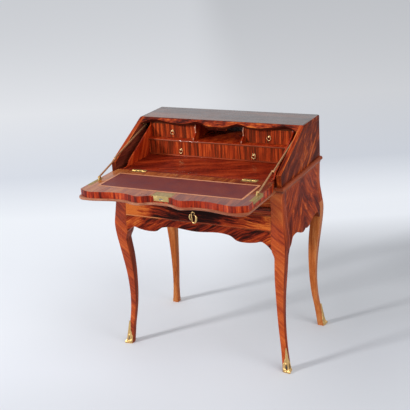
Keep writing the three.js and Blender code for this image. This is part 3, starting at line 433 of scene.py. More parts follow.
# %% Leather
def make_leather():
    material = new_material("skiver_leather_waxed")
    tree = material.node_tree
    where = add(tree, "ShaderNodeTexCoord").outputs["Object"]
    pebble = add(tree, "ShaderNodeTexVoronoi", {"Vector": where, "Scale": 1 / (1.3 * MM)},
                 feature="DISTANCE_TO_EDGE")
    crease = add(tree, "ShaderNodeMapRange", {
        "Value": pebble.outputs["Distance"], "From Max": 0.16})
    handled = add(tree, "ShaderNodeTexNoise", {
        "Vector": where, "Scale": 1 / (60 * MM), "Detail": 4, "Roughness": 0.6})
    colour = add(tree, "ShaderNodeValToRGB", {"Fac": handled.outputs["Fac"]},
                 tones=[(0.3, "#642224"), (0.5, "#742c26"), (0.7, "#7e382e")])
    creased = add(tree, "ShaderNodeMix", {
        "Factor": crease.outputs[0], 6: linear("#48181a"), 7: colour.outputs["Color"]},
        data_type="RGBA")
    softened = add(tree, "ShaderNodeMix", {
        "Factor": 0.6, 6: colour.outputs["Color"], 7: creased.outputs[2]}, data_type="RGBA")
    rough = add(tree, "ShaderNodeMapRange", {
        "Value": handled.outputs["Fac"], "From Min": 0.3, "From Max": 0.7,
        "To Min": 0.36, "To Max": 0.5})
    raised = add(tree, "ShaderNodeBump", {
        "Height": crease.outputs[0], "Strength": 0.6, "Distance": 0.12 * MM})
    shade = add(tree, "ShaderNodeBsdfPrincipled", {
        "Base Color": softened.outputs[2], "Roughness": rough.outputs[0],
        "Normal": raised.outputs[0], "Specular IOR Level": 0.15})
    add(tree, "ShaderNodeOutputMaterial", {"Surface": shade.outputs[0]})
    return material


leather = make_leather()
print("leather:", leather.name)

# %% [markdown]
# Inside, the carcase and the drawer linings are planed oak with no polish, so the wood
# pattern goes straight to a rough surface with open pores.

# %% Bare oak
def bare_wood(name, tones, turn):
    material = new_material(name)
    tree = material.node_tree
    where = add(tree, "ShaderNodeTexCoord").outputs["Object"]
    colour, relief = grain(tree, where, [math.radians(a) for a in turn], tones,
                           streak=2.2, figure=30)
    surface = add(tree, "ShaderNodeBump", {
        "Height": relief, "Strength": 0.7, "Distance": 0.2 * MM}, invert=True)
    shade = add(tree, "ShaderNodeBsdfPrincipled", {
        "Base Color": colour, "Roughness": 0.62, "Normal": surface.outputs[0]})
    add(tree, "ShaderNodeOutputMaterial", {"Surface": shade.outputs[0]})
    return material


oak_long = bare_wood("oak_planed_lengthwise", OAK, ALONG_X)
oak_deep = bare_wood("oak_planed_front_to_back", OAK, ALONG_Y)
oak_upright = bare_wood("oak_planed_upright", OAK, ALONG_Z)
print("oak in three directions")

# %% [markdown]
# Two ways to make a rigid piece. A board whose CAD shape is right is copied, its triangles
# are merged back into flat faces, and its corners are eased as a cabinetmaker eases them
# with sandpaper. A curved piece is made from its own measurements. Either way it rides on
# its CAD body, gets its materials, and hides the CAD node it stands for.


def ease(shape, width, angle=28, segments=2, only=None):
    """Round the sharp edges of a bmesh by a width in millimetres."""
    edges = [e for e in shape.edges if len(e.link_faces) == 2
             and e.calc_face_angle(0) > math.radians(angle) and (only is None or only(e))]
    bmesh.ops.bevel(shape, geom=edges, offset=width * MM, offset_type="OFFSET",
                    segments=segments, profile=0.5, affect="EDGES", clamp_overlap=True)
    bmesh.ops.remove_doubles(shape, verts=shape.verts, dist=0.002 * MM)


def frame_faces(shape, margin):
    """Add a narrow margin inside every large face, so that wear stays close to the edges."""
    shape.normal_update()
    large = [f for f in shape.faces if f.calc_area() > 300 * MM * MM
             and f.calc_area() > 3.5 * MM * f.calc_perimeter()]
    bmesh.ops.inset_individual(shape, faces=large, thickness=margin * MM, use_even_offset=True)


def add_piece(name, shape, materials, body, stands_for=(), smooth_angle=32, choose=None,
              margin=1.5):
    frame_faces(shape, margin)
    bmesh.ops.recalc_face_normals(shape, faces=shape.faces)
    mesh = bpy.data.meshes.new(name)
    shape.to_mesh(mesh)
    shape.free()
    mesh.polygons.foreach_set("use_smooth", [True] * len(mesh.polygons))
    mesh.set_sharp_from_angle(angle=math.radians(smooth_angle))
    for material in materials if isinstance(materials, list) else [materials]:
        mesh.materials.append(material)
    if choose:
        for face in mesh.polygons:
            face.material_index = choose(face.normal, face.center)
    obj = bpy.data.objects.new(name, mesh)
    bpy.context.scene.collection.objects.link(obj)
    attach(obj, body)
    if stands_for:
        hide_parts(*stands_for)
    return obj


def cad_shape(node):
    shape = bmesh.new()
    shape.from_mesh(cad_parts[node].data)
    bmesh.ops.remove_doubles(shape, verts=shape.verts, dist=0.004 * MM)
    bmesh.ops.dissolve_limit(shape, angle_limit=math.radians(0.4), verts=shape.verts,
                             edges=shape.edges)
    return shape


def eased_copy(node, materials, body, width=0.7, choose=None):
    shape = cad_shape(node)
    ease(shape, width)
    return add_piece(node + "_dressed", shape, materials, body, [node], choose=choose)


def sheet_body(front, back, opening=None):
    """Closed body between two matching grids of points, given as lists of columns.
    Cells for which opening(column, row) is true are left out and get walls round them."""
    shape = bmesh.new()
    near, far = [[[shape.verts.new(place(*p)) for p in column] for column in grid]
                 for grid in (front, back)]
    rows = len(near[0])
    cells = {(i, j) for i in range(len(near) - 1) for j in range(rows - 1)
             if not (opening and opening(i, j))}
    for i, j in sorted(cells):
        for grid in (near, far):
            shape.faces.new((grid[i][j], grid[i + 1][j], grid[i + 1][j + 1], grid[i][j + 1]))
        if 0 < i < len(near) - 2 and 0 < j < rows - 2:
            for di, dj, a, b in ((-1, 0, (0, 0), (0, 1)), (1, 0, (1, 0), (1, 1)),
                                 (0, -1, (0, 0), (1, 0)), (0, 1, (0, 1), (1, 1))):
                if (i + di, j + dj) not in cells:
                    shape.faces.new([grid[i + u][j + v] for grid, (u, v) in (
                        (near, a), (near, b), (far, b), (far, a))])
    for j in range(rows - 1):
        for i in (0, len(near) - 1):
            shape.faces.new((near[i][j], near[i][j + 1], far[i][j + 1], far[i][j]))
    for i in range(len(near) - 1):
        for j in (0, rows - 1):
            shape.faces.new((near[i][j], near[i + 1][j], far[i + 1][j], far[i][j]))
    return shape


def ring_body(rings, closed=False):
    """Rings of points in desk millimetres joined into a body; open ones get end caps."""
    shape = bmesh.new()
    made = [[shape.verts.new(place(*p)) for p in ring] for ring in rings]
    pairs = list(zip(made, made[1:])) + ([(made[-1], made[0])] if closed else [])
    for low, high in pairs:
        for i in range(len(low)):
            k = (i + 1) % len(low)
            shape.faces.new((low[i], low[k], high[k], high[i]))
    if not closed:
        shape.faces.new(made[0])
        shape.faces.new(made[-1])
    return shape


print("helpers ready")

# %% [markdown]
# Boards first. They keep the shape that the CAD gave them. What changes from board to board
# is how the veneer was laid: along the length on the deck, quartered on the sides, and
# across the edge on the sloping strips.

# %% Upper case boards
side_figure = veneer("rosewood_dark_quartered_french_polished", DARK_ROSEWOOD, (0, -38, 90),
                     specular=0.015, figure=70, streak=14, length=200, warp=26, soft=0.11)
edge_red = veneer("rosewood_edge_banding_french_polished", DARK_ROSEWOOD, ALONG_Z, specular=0.03)
# Painted shade: near-black wood for parts seen in shadow, the top rail's lower edge and the nest's
# cornice strips under it.
shadow_wood = veneer("rosewood_painted_shade_dark", [(0.0, "#2a0c08"), (1.0, "#4a1810")], ALONG_X,
                     specular=0.05)
slope_strip = veneer("tulipwood_along_the_slope_french_polished", TULIPWOOD,
                     (0, -math.degrees(SLOPE), 90), specular=0.06, figure=24, streak=5)
cheek_red = veneer("rosewood_red_upright_french_polished", CHEEK, (0, -60, 90), gloss=0.15,
                   specular=0.06, figure=20)
rail_figure = veneer("rosewood_top_rail_french_polished", ROSEWOOD, (0, -18, 0), specular=0.06,
                     fade=[(-339, -0.03), (-120, -0.02), (0, 0.03), (339, 0.0)], figure=26,
                     streak=5)
shelf_edge = veneer("rosewood_shelf_edge_french_polished", MOULDING_WOOD, ALONG_X, gloss=0.4)
# Painted highlight: pale tulipwood, lighter than the wood round it, on the front edges of the nest
# partitions so they read as catching the light; their gloss coat is real.
partition_edge_painted_highlight = veneer("tulipwood_edge_painted_highlight", LIP_WOOD, ALONG_Z, gloss=0.6,
                    figure=12)
# Painted shade: near black for the middle block behind the top rail, which is lost in shadow.
rail_block_painted_shade = veneer("painted_shade_near_black", [(0.0, "#100503"), (1.0, "#2a0f09")], ALONG_X)
# Painted shade with a painted grey sheen: grey-black for the inside face of the back panel, seen at the
# back of the pigeonhole, and for the sheets behind the sabots' windows.
painted_shade_grey = veneer("painted_shade_grey_black", [(0.0, "#3c3432"), (1.0, "#6a605c")], ALONG_Z,
                   gloss=0.3)
RAIL_MIDDLE = place(0, -178, 0).y
for side, sign in SIDES:
    eased_copy(f"side_panel_{side}", [side_figure, slope_strip, stained, edge_red], "case",
               choose=lambda n, c, s=sign: (3 if n.y < -0.9 else 1 if n.y < -0.3 else
                                            2 if n.x * s < -0.6 else 0))
eased_copy("top_board", [top_figure, slope_strip, side_figure], "case", width=0.9,
           choose=lambda n, c: 1 if n.y < -0.2 else 2 if abs(n.x) > 0.5 else 0)
# On the top rail the middle block behind it and the lower edge are painted shade; the other faces are
# veneer.
eased_copy("top_rail", [rail_figure, rail_block_painted_shade, shadow_wood], "case",
           choose=lambda n, c: (1 if abs(c.x) < 42 * MM and c.y > RAIL_MIDDLE else
                                2 if n.y < -0.3 and n.z < -0.2 else 0))
eased_copy("front_rail", deep_red, "case")
eased_copy("deck", deck_red, "case")
for side, sign in SIDES:
    eased_copy(f"cheek_{side}", cheek_red, "case", width=0.5)
    # The partitions' front edges take the painted highlight.
    eased_copy(f"nest_partition_{side}", [cheek_red, partition_edge_painted_highlight], "case", width=1.2,
               choose=lambda n, c: 1 if n.y < -0.75 else 0)
    # The cornice strips are painted shade.
    eased_copy(f"nest_cornice_{side}", shadow_wood, "case", width=0.5)
eased_copy("nest_base", deep_red, "case", width=1.6)
eased_copy("nest_shelf", [cheek_red, shelf_edge], "case", width=2.0,
           choose=lambda n, c: 1 if n.y < -0.75 else 0)
print("upper case dressed")

# %% [markdown]
# The back and the inside parts are plain oak. The CAD solids are right for these, so they
# stay and only get their wood and a slight easing of the edges.

# %% Plain oak parts
def finish_cad(nodes, material, width=0.8):
    for node in nodes:
        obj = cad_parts[node]
        obj.data.materials.clear()
        obj.data.materials.append(material)
        weld = obj.modifiers.new("weld", "WELD")
        weld.merge_threshold = 0.004 * MM
        flat = obj.modifiers.new("flat_faces", "DECIMATE")
        flat.decimate_type = "DISSOLVE"
        flat.angle_limit = math.radians(0.4)
        eased = obj.modifiers.new("eased", "BEVEL")
        eased.width = width * MM
        eased.segments = 2
        eased.limit_method = "ANGLE"
        eased.angle_limit = math.radians(35)


# The back panel's inside face is painted shade with a painted grey sheen.
eased_copy("back_panel", [oak_upright, painted_shade_grey], "case", width=0.8,
           choose=lambda n, c: 1 if n.y < -0.6 else 0)
finish_cad(["lower_back"], oak_upright)
finish_cad(["case_floor", "drawer_box"], oak_long)
finish_cad(["drawer_runner_left", "drawer_runner_right"], oak_deep)
finish_cad(["drawer_lock"], brass, 0.3)
finish_cad(["drawer_lock_bolt", "flap_lock_bolt"], steel, 0.4)
print("oak parts dressed")

# %% [markdown]
# The legs are cabriole: the outer corner swells at the knee, draws in at the shin and kicks
# out at the foot, and the upper part runs on as the corner stile of the case. A smooth curve
# through a few measured points gives the corner line, and rings of points are lofted along
# it. The curve is the same one that the CAD was drawn with.

# %% Curves
def curve(points):
    xs, ys = zip(*points)

    def value(x):
        x = min(max(x, xs[0]), xs[-1])
        i = next((k for k in range(1, len(xs)) if x <= xs[k]), len(xs) - 1)
        x0, x1 = xs[i - 1], xs[i]
        before = (x0 - xs[i - 2], ys[i - 2]) if i > 1 else (x0 - x1, ys[i])
        after = (xs[i + 1] - x1, ys[i + 1]) if i + 1 < len(xs) else (x0 - x1, ys[i - 1])
        half = (x1 - x0) / 2
        wp, wn, p = half / before[0], half / after[0], (x - x0) / (x1 - x0)
        pp, ppp = p * p, p * p * p
        return (before[1] * (-wp * ppp + 2 * wp * pp - wp * p)
                + ys[i - 1] * ((1 + wp) * ppp + (-1.5 - 2 * wp) * pp + (-0.5 + wp) * p + 1)
                + ys[i] * ((-1 - wn) * ppp + (1.5 + wn) * pp + 0.5 * p)
                + after[1] * (wn * ppp - wn * pp))
    return value


CORNER_LINE = [
    (0, 8), (60, -1.5), (143, -12), (220, -15.5), (310, -12.5), (378, -6),
    (439, 1), (508, 8), (543, 9), (574, 6), (600, 3), (640, -1), (WAIST_Z, 0)]
LEG_WIDTH = [(0, 26), (60, 22.5), (95, 21.5), (195, 24.5), (288, 29.5), (404, 38.5), (470, 41)]
bulge = curve(CORNER_LINE)
leg_width = curve(LEG_WIDTH)


def leg_inner(z, stile):
    if z <= LEG_HEAD_Z:
        return leg_width(z) - bulge(z)
    t = min(max((z - LEG_HEAD_Z) / (STILE_FOOT_Z - LEG_HEAD_Z), 0), 1)
    t = t * t * (3 - 2 * t)
    return LEG_HEAD_IN + (stile - LEG_HEAD_IN) * t


def corner_ring(sx, sy, z, inner, outer, round_off, soft=1.0):
    """Section of a leg: measures run outward from the corner line of the case."""
    ring = []
    for (a, b), radius, first in (((outer, -inner), soft, -90), ((outer, outer), round_off, 0),
                                  ((-inner, outer), soft, 90), ((-inner, -inner), soft, 180)):
        ca = a - radius if a > 0 or a == outer else a + radius
        cb = b - radius if b > 0 or b == outer else b + radius
        for turn in steps(first, first + 90, 4):
            ring.append((ca + radius * math.cos(math.radians(turn)),
                         cb + radius * math.sin(math.radians(turn))))
    return [(sx * (HALF_WIDTH + p), -DEPTH - q if sy < 0 else q, z) for p, q in ring]


print("knee stands out", round(bulge(530), 1), "mm, shin draws in", round(bulge(220), 1), "mm")

# %% Legs
PLAIN_LEG_TOP = 0.568
LEG_LEVELS = steps(0, 470, 62) + steps(475, 510, 8) + steps(518, WAIST_Z - GAP, 26)
for place_name, sy in (("front", -1), ("back", 1)):
    for side, sx in SIDES:
        stile = STILE_FRONT if sy < 0 else STILE_BACK
        rings = [corner_ring(sx, sy, z, leg_inner(z, stile), bulge(z), 3) for z in LEG_LEVELS]
        add_piece(f"leg_{place_name}_{side}_veneered", ring_body(rings),
                  [tulip_leg, side_leg, plain_leg, inner_leg], "case",
                  [f"leg_{place_name}_{side}"], smooth_angle=50, margin=0.8,
                  choose=lambda n, c, x=sx, y=sy: (
                      (0 if y < 0 else 2) if n.y < -0.5 else
                      (1 if y < 0 or c.z > PLAIN_LEG_TOP else 2) if n.x * x > 0.5 else
                      (3 if y < 0 else 2) if abs(n.x) > 0.5 else 1))
print("four legs")

# %% [markdown]
# The lower case stands between the legs. Its faces follow the same corner line, so each is
# a grid of columns whose front leans with the curve and whose lower edge is the shaped
# apron. The waist moulding is one profile carried round three sides with mitred corners.

# %% Lower case
APRON_EDGE = [(0, 546), (146, 546), (155, 541), (170, 530), (205, 525), (250, 530), (275, 536),
              (290, 528), (303, 517), (311, 507)]
SIDE_APRON_EDGE = [(0, 521), (8, 516), (28, 513), (56, 520), (88, 534), (120, 538), (146, 531),
                   (153, 519), (161, 509), (171, 503)]
APRON_TOP, FASCIA_BOTTOM, RAIL_BOTTOM = 580.7, 668.3, 637.3
STILE_INNER = HALF_WIDTH - STILE_FRONT
apron_edge, side_apron_edge = curve(APRON_EDGE), curve(SIDE_APRON_EDGE)

SIDE_WOOD = [(0.0, "#3c1008"), (0.35, "#6c210c"), (0.65, "#923613"), (0.85, "#b44c1a"),
             (1.0, "#c66426")]
lower_figure = veneer("rosewood_chevron_french_polished", SIDE_WOOD, (0, 50, 90),
                      specular=0.02, fold=SIDE_MIDDLE, figure=60, streak=12, length=200, warp=22,
                      soft=0.11)
apron_figure = veneer("rosewood_apron_diagonal_french_polished", ROSEWOOD, (0, -28, 0),
                      specular=0.05, fade=[(-311, 0.0), (-160, -0.03), (-60, -0.05), (311, 0.01)],
                      figure=40, streak=6, warp=16)
fascia_wood = veneer("tulipwood_fascia_french_polished", TULIPWOOD, (0, -8, 0), specular=0.05,
                     figure=40)

apron_half = STILE_INNER - GAP
apron_front, apron_back = [], []
for x in steps(-apron_half, apron_half, 150):
    levels = steps(max(apron_edge(abs(x)), 507), APRON_TOP, 10)
    apron_front.append([(x, -DEPTH - bulge(z), z) for z in levels])
    apron_back.append([(x, -DEPTH + 20, z) for z in levels])
shape = sheet_body(apron_front, apron_back)
ease(shape, 0.8)
add_piece("front_apron_veneered", shape, apron_figure, "case", ["front_apron"])

side_near, side_far = -DEPTH + STILE_FRONT + GAP, -STILE_BACK - GAP
side_middle = (side_near + side_far) / 2
for side, sign in SIDES:
    outer, inner = [], []
    for y in steps(side_near, side_far, 110):
        levels = steps(side_apron_edge(abs(y - side_middle)), WAIST_Z - GAP, 26)
        outer.append([(sign * (HALF_WIDTH + bulge(z)), y, z) for z in levels])
        inner.append([(sign * INNER_HALF, y, z) for z in levels])
    shape = sheet_body(outer, inner)
    ease(shape, 0.8)
    add_piece(f"lower_side_{side}_veneered", shape, [lower_figure, oak_deep], "case",
              [f"lower_side_{side}"], choose=lambda n, c, s=sign: 1 if n.x * s < -0.6 else 0)
print("apron and lower sides")

# %% Fascia, drawer rail and waist moulding
eased_copy("fascia_panel", fascia_wood, "case")
rail_face, bead_r = DEPTH - 1, 2.4
MORTISE_FRONT, MORTISE_BACK, MORTISE_HALF, MORTISE_DEEP = -401.3, -395.7, 9, 9


def rail_ring(x, deep):
    """Section of the rail; deep is the depth of the lock bolt's mortise from below."""
    profile = [(-388, RAIL_BOTTOM), (MORTISE_BACK, RAIL_BOTTOM),
               (MORTISE_BACK, RAIL_BOTTOM + deep), (MORTISE_FRONT, RAIL_BOTTOM + deep),
               (MORTISE_FRONT, RAIL_BOTTOM), (-rail_face, RAIL_BOTTOM)]
    for bead_z in (RAIL_BOTTOM + 4, FASCIA_BOTTOM - 5):
        profile += [(-rail_face - bead_r * math.cos(math.radians(t)),
                     bead_z + bead_r * math.sin(math.radians(t))) for t in steps(-90, 90, 10)]
    profile += [(-rail_face, FASCIA_BOTTOM - GAP), (-388, FASCIA_BOTTOM - GAP)]
    return [(x, y, z) for y, z in profile]


rail = ring_body([rail_ring(x, 0) for x in steps(-apron_half, -MORTISE_HALF, 10)]
                 + [rail_ring(x, MORTISE_DEEP) for x in (-MORTISE_HALF, MORTISE_HALF)]
                 + [rail_ring(x, 0) for x in steps(MORTISE_HALF, apron_half, 10)])
bmesh.ops.remove_doubles(rail, verts=rail.verts, dist=0.01 * MM)
add_piece("drawer_rail_beaded", rail, rose_long, "case", ["drawer_rail"])

NOSE, NOSE_Z, NOSE_R = 11, 743.5, 8.2
hollow = [(1.2 + 3.6 * (1 - math.cos(math.radians(t))), WAIST_Z + GAP + 7 * math.sin(math.radians(t)))
          for t in steps(0, 90, 8)]
nose = [(NOSE - NOSE_R + NOSE_R * math.cos(math.radians(t)), NOSE_Z + NOSE_R * math.sin(math.radians(t)))
        for t in steps(-90, 90, 16)]
moulding = [(GAP, WAIST_Z + GAP)] + hollow + nose + [(GAP, NOSE_Z + NOSE_R)]
corners = [lambda p: (-HALF_WIDTH - p, 0), lambda p: (-HALF_WIDTH - p, -DEPTH - p),
           lambda p: (HALF_WIDTH + p, -DEPTH - p), lambda p: (HALF_WIDTH + p, 0)]
band = ring_body([[(*corner(p), z) for p, z in moulding] for corner in corners])
add_piece("waist_moulding_polished", band, [rose_long, rose_deep], "case",
          ["waist_moulding"], smooth_angle=40,
          choose=lambda n, c: 1 if abs(c.x) > (HALF_WIDTH - 1) * MM else 0)
print("moulding profile points:", len(moulding))

# %% [markdown]
# The frieze drawer has a front that follows the same swelling line, a gilt keyhole plate of
# C-scrolls, and a cock bead along its lower edge that catches the light.

# %% Frieze drawer front
DRAWER_TOP, DRAWER_BOTTOM, DRAWER_INNER = 636.7, 581.3, 403
drawer_half = STILE_INNER - 0.6
front, back = [], []
for x in steps(-drawer_half, drawer_half, 60):
    front.append([(x, -DEPTH - bulge(z), z) for z in steps(DRAWER_BOTTOM, DRAWER_TOP, 14)])
    back.append([(x, -DRAWER_INNER, z) for z in steps(DRAWER_BOTTOM, DRAWER_TOP, 14)])
shape = sheet_body(front, back)
ease(shape, 0.6)
drawer_figure = veneer("rosewood_frieze_french_polished", ROSEWOOD, (0, 5, 0),
                       specular=0.05, figure=34, streak=5, warp=16,
                       fade=[(-311, 0.12), (-225, 0.07), (-180, -0.06), (-60, -0.13), (70, -0.13),
                             (120, 0.02), (311, 0.09)])
bead_wood = veneer("tulipwood_cock_bead_polished", TULIPWOOD, ALONG_X,
                   specular=0.08, fade=[(-311, 0.2), (-170, 0.12), (-120, -0.1), (311, -0.02)],
                   figure=14)
add_piece("drawer_front_veneered", shape, [drawer_figure, oak_long], "frieze_drawer",
          ["drawer_front"], choose=lambda n, c: 1 if n.y > 0.6 else 0)
lip_profile = [(0, 0), (0, 3.4), (1.2, 3.6), (2.2, 3.0), (2.6, 1.8), (2.2, 0.6), (1.2, 0)]
cock_bead = ring_body([[(x, -DEPTH - bulge(DRAWER_BOTTOM + v) + 1 - u, DRAWER_BOTTOM + v)
                        for u, v in lip_profile] for x in steps(-drawer_half, drawer_half, 40)])
add_piece("drawer_cock_bead", cock_bead, bead_wood, "frieze_drawer")
print("drawer front")

# %% [markdown]
# The flap is a clamped board with a lapped lip. Its writing side has the leather let in
# flush, a line of light stringing round it, and a border of veneer. The board is copied
# from the CAD with all its pockets, and the lip's outer edge gets a wide soft round.

# %% Flap board and lip
FLAP_THICK, LIP_THICK = (SHOULDER_Z - WRITING_Z) * math.cos(SLOPE) + 0.4, 8
lip_top, lip_bottom = (WRITING_Z - FLAP_THICK) * MM, (WRITING_Z - FLAP_THICK - LIP_THICK) * MM
flap_border = veneer("tulipwood_flap_border_french_polished", BORDER_WOOD, ALONG_Y, gloss=0.5,
                     specular=0.08, fade=[(-339, 0.04), (-60, 0.0), (120, -0.04), (339, -0.1)],
                     figure=30, streak=5)
flap_edge = veneer("tulipwood_crossbanded_edge_french_polished", STRIPED, ALONG_Z,
                   streak=7, figure=18, soft=0.1)
lip_wood = veneer("tulipwood_lip_moulding_french_polished", LIP_WOOD, ALONG_X,
                  fade=[(-339, -0.02), (60, 0.0), (339, -0.12)], figure=18)
flap_outside = veneer("rosewood_flap_outside_french_polished", ROSEWOOD, (0, 0, 90),
                      figure=46, warp=20)


def on_lip_rim(edge):
    heights = [v.co.z for v in edge.verts]
    level = max(heights) - min(heights) < 0.01 * MM
    side = any(abs(f.normal.z) < 0.3 and lip_bottom - MM < f.calc_center_median().z < lip_top
               for f in edge.link_faces)
    return level and side and abs(sum(heights) / 2 - lip_bottom) < 0.2 * MM


def widen_lip_corners(shape, old, new):
    """Draw the round of the lip's two front corners out from radius old to radius new."""
    side = max(v.co.x for v in shape.verts)
    front = min(v.co.y for v in shape.verts)
    for v in shape.verts:
        a, b = abs(v.co.x) - side + old, front + old - v.co.y
        if v.co.z < lip_top + 0.2 * MM and a > -0.05 * MM and b > -0.05 * MM:
            turn = math.atan2(a, b)
            v.co.x = math.copysign(side - new + new * math.sin(turn), v.co.x)
            v.co.y = front + new - new * math.cos(turn)


shape = cad_shape("flap")
widen_lip_corners(shape, 14 * MM, 34 * MM)
ease(shape, 3.0, segments=4, only=on_lip_rim)
ease(shape, 0.5, only=lambda e: all(v.co.z > lip_top - 0.2 * MM for v in e.verts))
add_piece("flap_veneered", shape, [flap_border, flap_edge, lip_wood, flap_outside], "flap",
          ["flap"], smooth_angle=40,
          choose=lambda n, c: (3 if n.z < -0.9 else 2) if c.z < lip_top + 0.2 * MM
          else (0 if n.z > 0.6 else 1))
print("flap faces made")

# %% Leather and stringing
LEATHER_HALF, LEATHER_NEAR, LEATHER_FAR = 287, 51, 196


def flap_point(x, reach, rise):
    return (x, -DEPTH - reach, WRITING_Z + rise)


def flap_strip(name, corners, rise, material):
    """Thin strip let into the writing side: its corners given as (x, reach)."""
    top = [flap_point(x, r, rise) for x, r in corners]
    low = [flap_point(x, r, -1.0) for x, r in corners]
    shape = ring_body([low, top])
    ease(shape, 0.12, segments=1)
    return add_piece(name, shape, material, "flap")


eased_copy("leather_panel", leather, "flap", width=0.35)
string_in, string_out = 0.5, 8.6
half_in, half_out = LEATHER_HALF + string_in, LEATHER_HALF + string_out
near_in, near_out = LEATHER_NEAR - string_in, LEATHER_NEAR - string_out
far_in, far_out = LEATHER_FAR + string_in, LEATHER_FAR + string_out
for name, corners in (
        ("near", [(-half_out, near_out), (half_out, near_out), (half_in, near_in), (-half_in, near_in)]),
        ("far", [(-half_out, far_out), (half_out, far_out), (half_in, far_in), (-half_in, far_in)]),
        ("left", [(-half_out, near_out), (-half_out, far_out), (-half_in, far_in), (-half_in, near_in)]),
        ("right", [(half_out, near_out), (half_out, far_out), (half_in, far_in), (half_in, near_in)])):
    flap_strip(f"stringing_{name}", corners, 0.12, boxwood)
print("leather", 2 * LEATHER_HALF, "by", LEATHER_FAR - LEATHER_NEAR, "mm")

# %% [markdown]
# Small metal parts repeat all over the desk: pegs and rosettes turned or cast round an
# axis, slotted screws, and rivets. One function spins a profile into rings of points, and a
# screw is two half-discs with the slot left open between them, standing on a lower disc.

# %% Turned parts, screws and rivets
def turned(profile, centre, axis, count=20, lobes=0, depth=0.0):
    """Body of revolution from (radius, distance along the axis); lobes make petals."""
    axis = Vector(axis).normalized()
    side = axis.orthogonal().normalized()
    up = axis.cross(side)
    rings = []
    for radius, out in profile:
        ring = []
        for k in range(count):
            turn = 2 * math.pi * k / count
            r = radius * (1 + depth * math.cos(lobes * turn))
            ring.append(tuple(Vector(centre) + axis * out
                              + (side * math.cos(turn) + up * math.sin(turn)) * r))
        rings.append(ring)
    return ring_body(rings)


def together(shapes):
    whole = bmesh.new()
    for part_shape in shapes:
        part = bpy.data.meshes.new("part")
        part_shape.to_mesh(part)
        part_shape.free()
        whole.from_mesh(part)
        bpy.data.meshes.remove(part)
    return whole


def screw(centre, axis, radius=2.3, turn=25):
    """Slotted head that stands 0.3 mm proud; its slot is 0.7 mm wide."""
    axis = Vector(axis).normalized()
    side = axis.orthogonal().normalized()
    side = Matrix.Rotation(math.radians(turn), 3, axis) @ side
    up = axis.cross(side)
    slot = 0.35
    first = math.asin(slot / radius)
    bodies = [turned([(radius, -0.8), (radius, -0.35), (0.1, -0.3)], centre, axis, 16)]
    for way in (-1, 1):
        arc = [(radius * math.cos(a), way * radius * math.sin(a))
               for a in steps(first, math.pi - first, 9)]
        levels = [(1.0, -0.6), (1.0, 0.12), (0.88, 0.3)]
        bodies.append(ring_body([[tuple(Vector(centre) + axis * out + side * (a * k)
                                        + up * (way * slot + (b - way * slot) * k))
                                  for a, b in arc] for k, out in levels]))
    return together(bodies)


def rivet(x0, x1, y, z, radius=2.6, dome=0.6):
    """Pin along X with a low domed head at its far end x1."""
    way = 1 if x1 > x0 else -1
    reach = abs(x1 - x0)
    profile = [(radius * 0.9, 0), (radius, 0.15), (radius, reach), (radius * 0.85, reach + dome * 0.6),
               (radius * 0.5, reach + dome * 0.9), (0.1, reach + dome)]
    return turned(profile, (x0, y, z), (way, 0, 0), 18)


print("turned parts ready")

# %% [markdown]
# Four small drawers fill the nest. Each is a thin-walled oak box whose front is faced with
# tulipwood cut so that its stripes stand upright, and a ring hangs from a peg in front of a
# small cast rosette.

# %% Small drawers
DRAWER_FAR, SMALL_BACK, SMALL_WALL, SMALL_BOTTOM, SMALL_FACE = 308.0, 30, 5, 3.5, 8
RING_R, RING_WIRE, RING_OUT = 7.9, 1.1, 4.2
TIERS = {"upper": (171, 108.3, 838.9, 893.6, (212, 868)),
         "lower": (205, 0.6, 776.8, 831.2, (160, 801))}


def tray(x0, x1, front, back, low, high, wall, floor, face):
    def loop(inset, near, far, z):
        return [(x0 + inset, near, z), (x1 - inset, near, z), (x1 - inset, far, z),
                (x0 + inset, far, z)]
    return ring_body([loop(0, front, back, low), loop(0, front, back, high),
                      loop(wall, front + face, back - wall, high),
                      loop(wall, front + face, back - wall, low + floor)])


for tier, (front, near, low, high, (pull_x, pull_z)) in TIERS.items():
    for side, sign in SIDES:
        x0, x1 = sorted((sign * near, sign * DRAWER_FAR))
        name, body = f"{tier}_drawer_{side}", f"{tier}_drawer_{side}"
        shape = tray(x0, x1, -front, -SMALL_BACK, low, high, SMALL_WALL, SMALL_BOTTOM, SMALL_FACE)
        ease(shape, 0.6)
        face_y = place(0, -front + 1, 0).y
        add_piece(name + "_box", shape, [oak_long, drawer_striped], body, [name],
                  choose=lambda n, c, y=face_y: 1 if c.y < y else 0)
        x, y = sign * pull_x, -front
        mount = together([
            turned([(4.6, -0.1), (4.8, 0.35), (4.2, 0.9), (3.2, 0.6), (2.6, 0.9), (2.0, 1.6),
                    (1.2, 1.9), (0.2, 2.0)], (x, y, pull_z - 1.5), (0, -1, 0), 32, 8, 0.07),
            turned([(1.3, 0), (1.3, 5.4), (2.1, 5.5), (2.2, 5.9), (1.5, 6.25), (0.2, 6.3)],
                   (x, y, pull_z - 3.0), (0, -1, 0), 14)])
        add_piece(f"{tier}_rosette_{side}", mount, ring_brass, body, smooth_angle=50)
        loops = []
        for a in steps(0, 360, 32)[:-1]:
            a = math.radians(a)
            wire = RING_WIRE * (0.9 - 0.12 * math.cos(a))
            loops.append([(x + (RING_R + wire * math.cos(b)) * math.sin(a),
                           y - RING_OUT + wire * math.sin(b),
                           pull_z - RING_R + (RING_R + wire * math.cos(b)) * math.cos(a))
                          for b in (math.radians(d) for d in steps(0, 360, 10)[:-1])])
        add_piece(f"{tier}_ring_{side}_wire", ring_body(loops, closed=True), ring_brass,
                  f"{tier}_ring_{side}", [f"{tier}_ring_{side}"], smooth_angle=80)
print("small drawers:", 2 * len(TIERS))

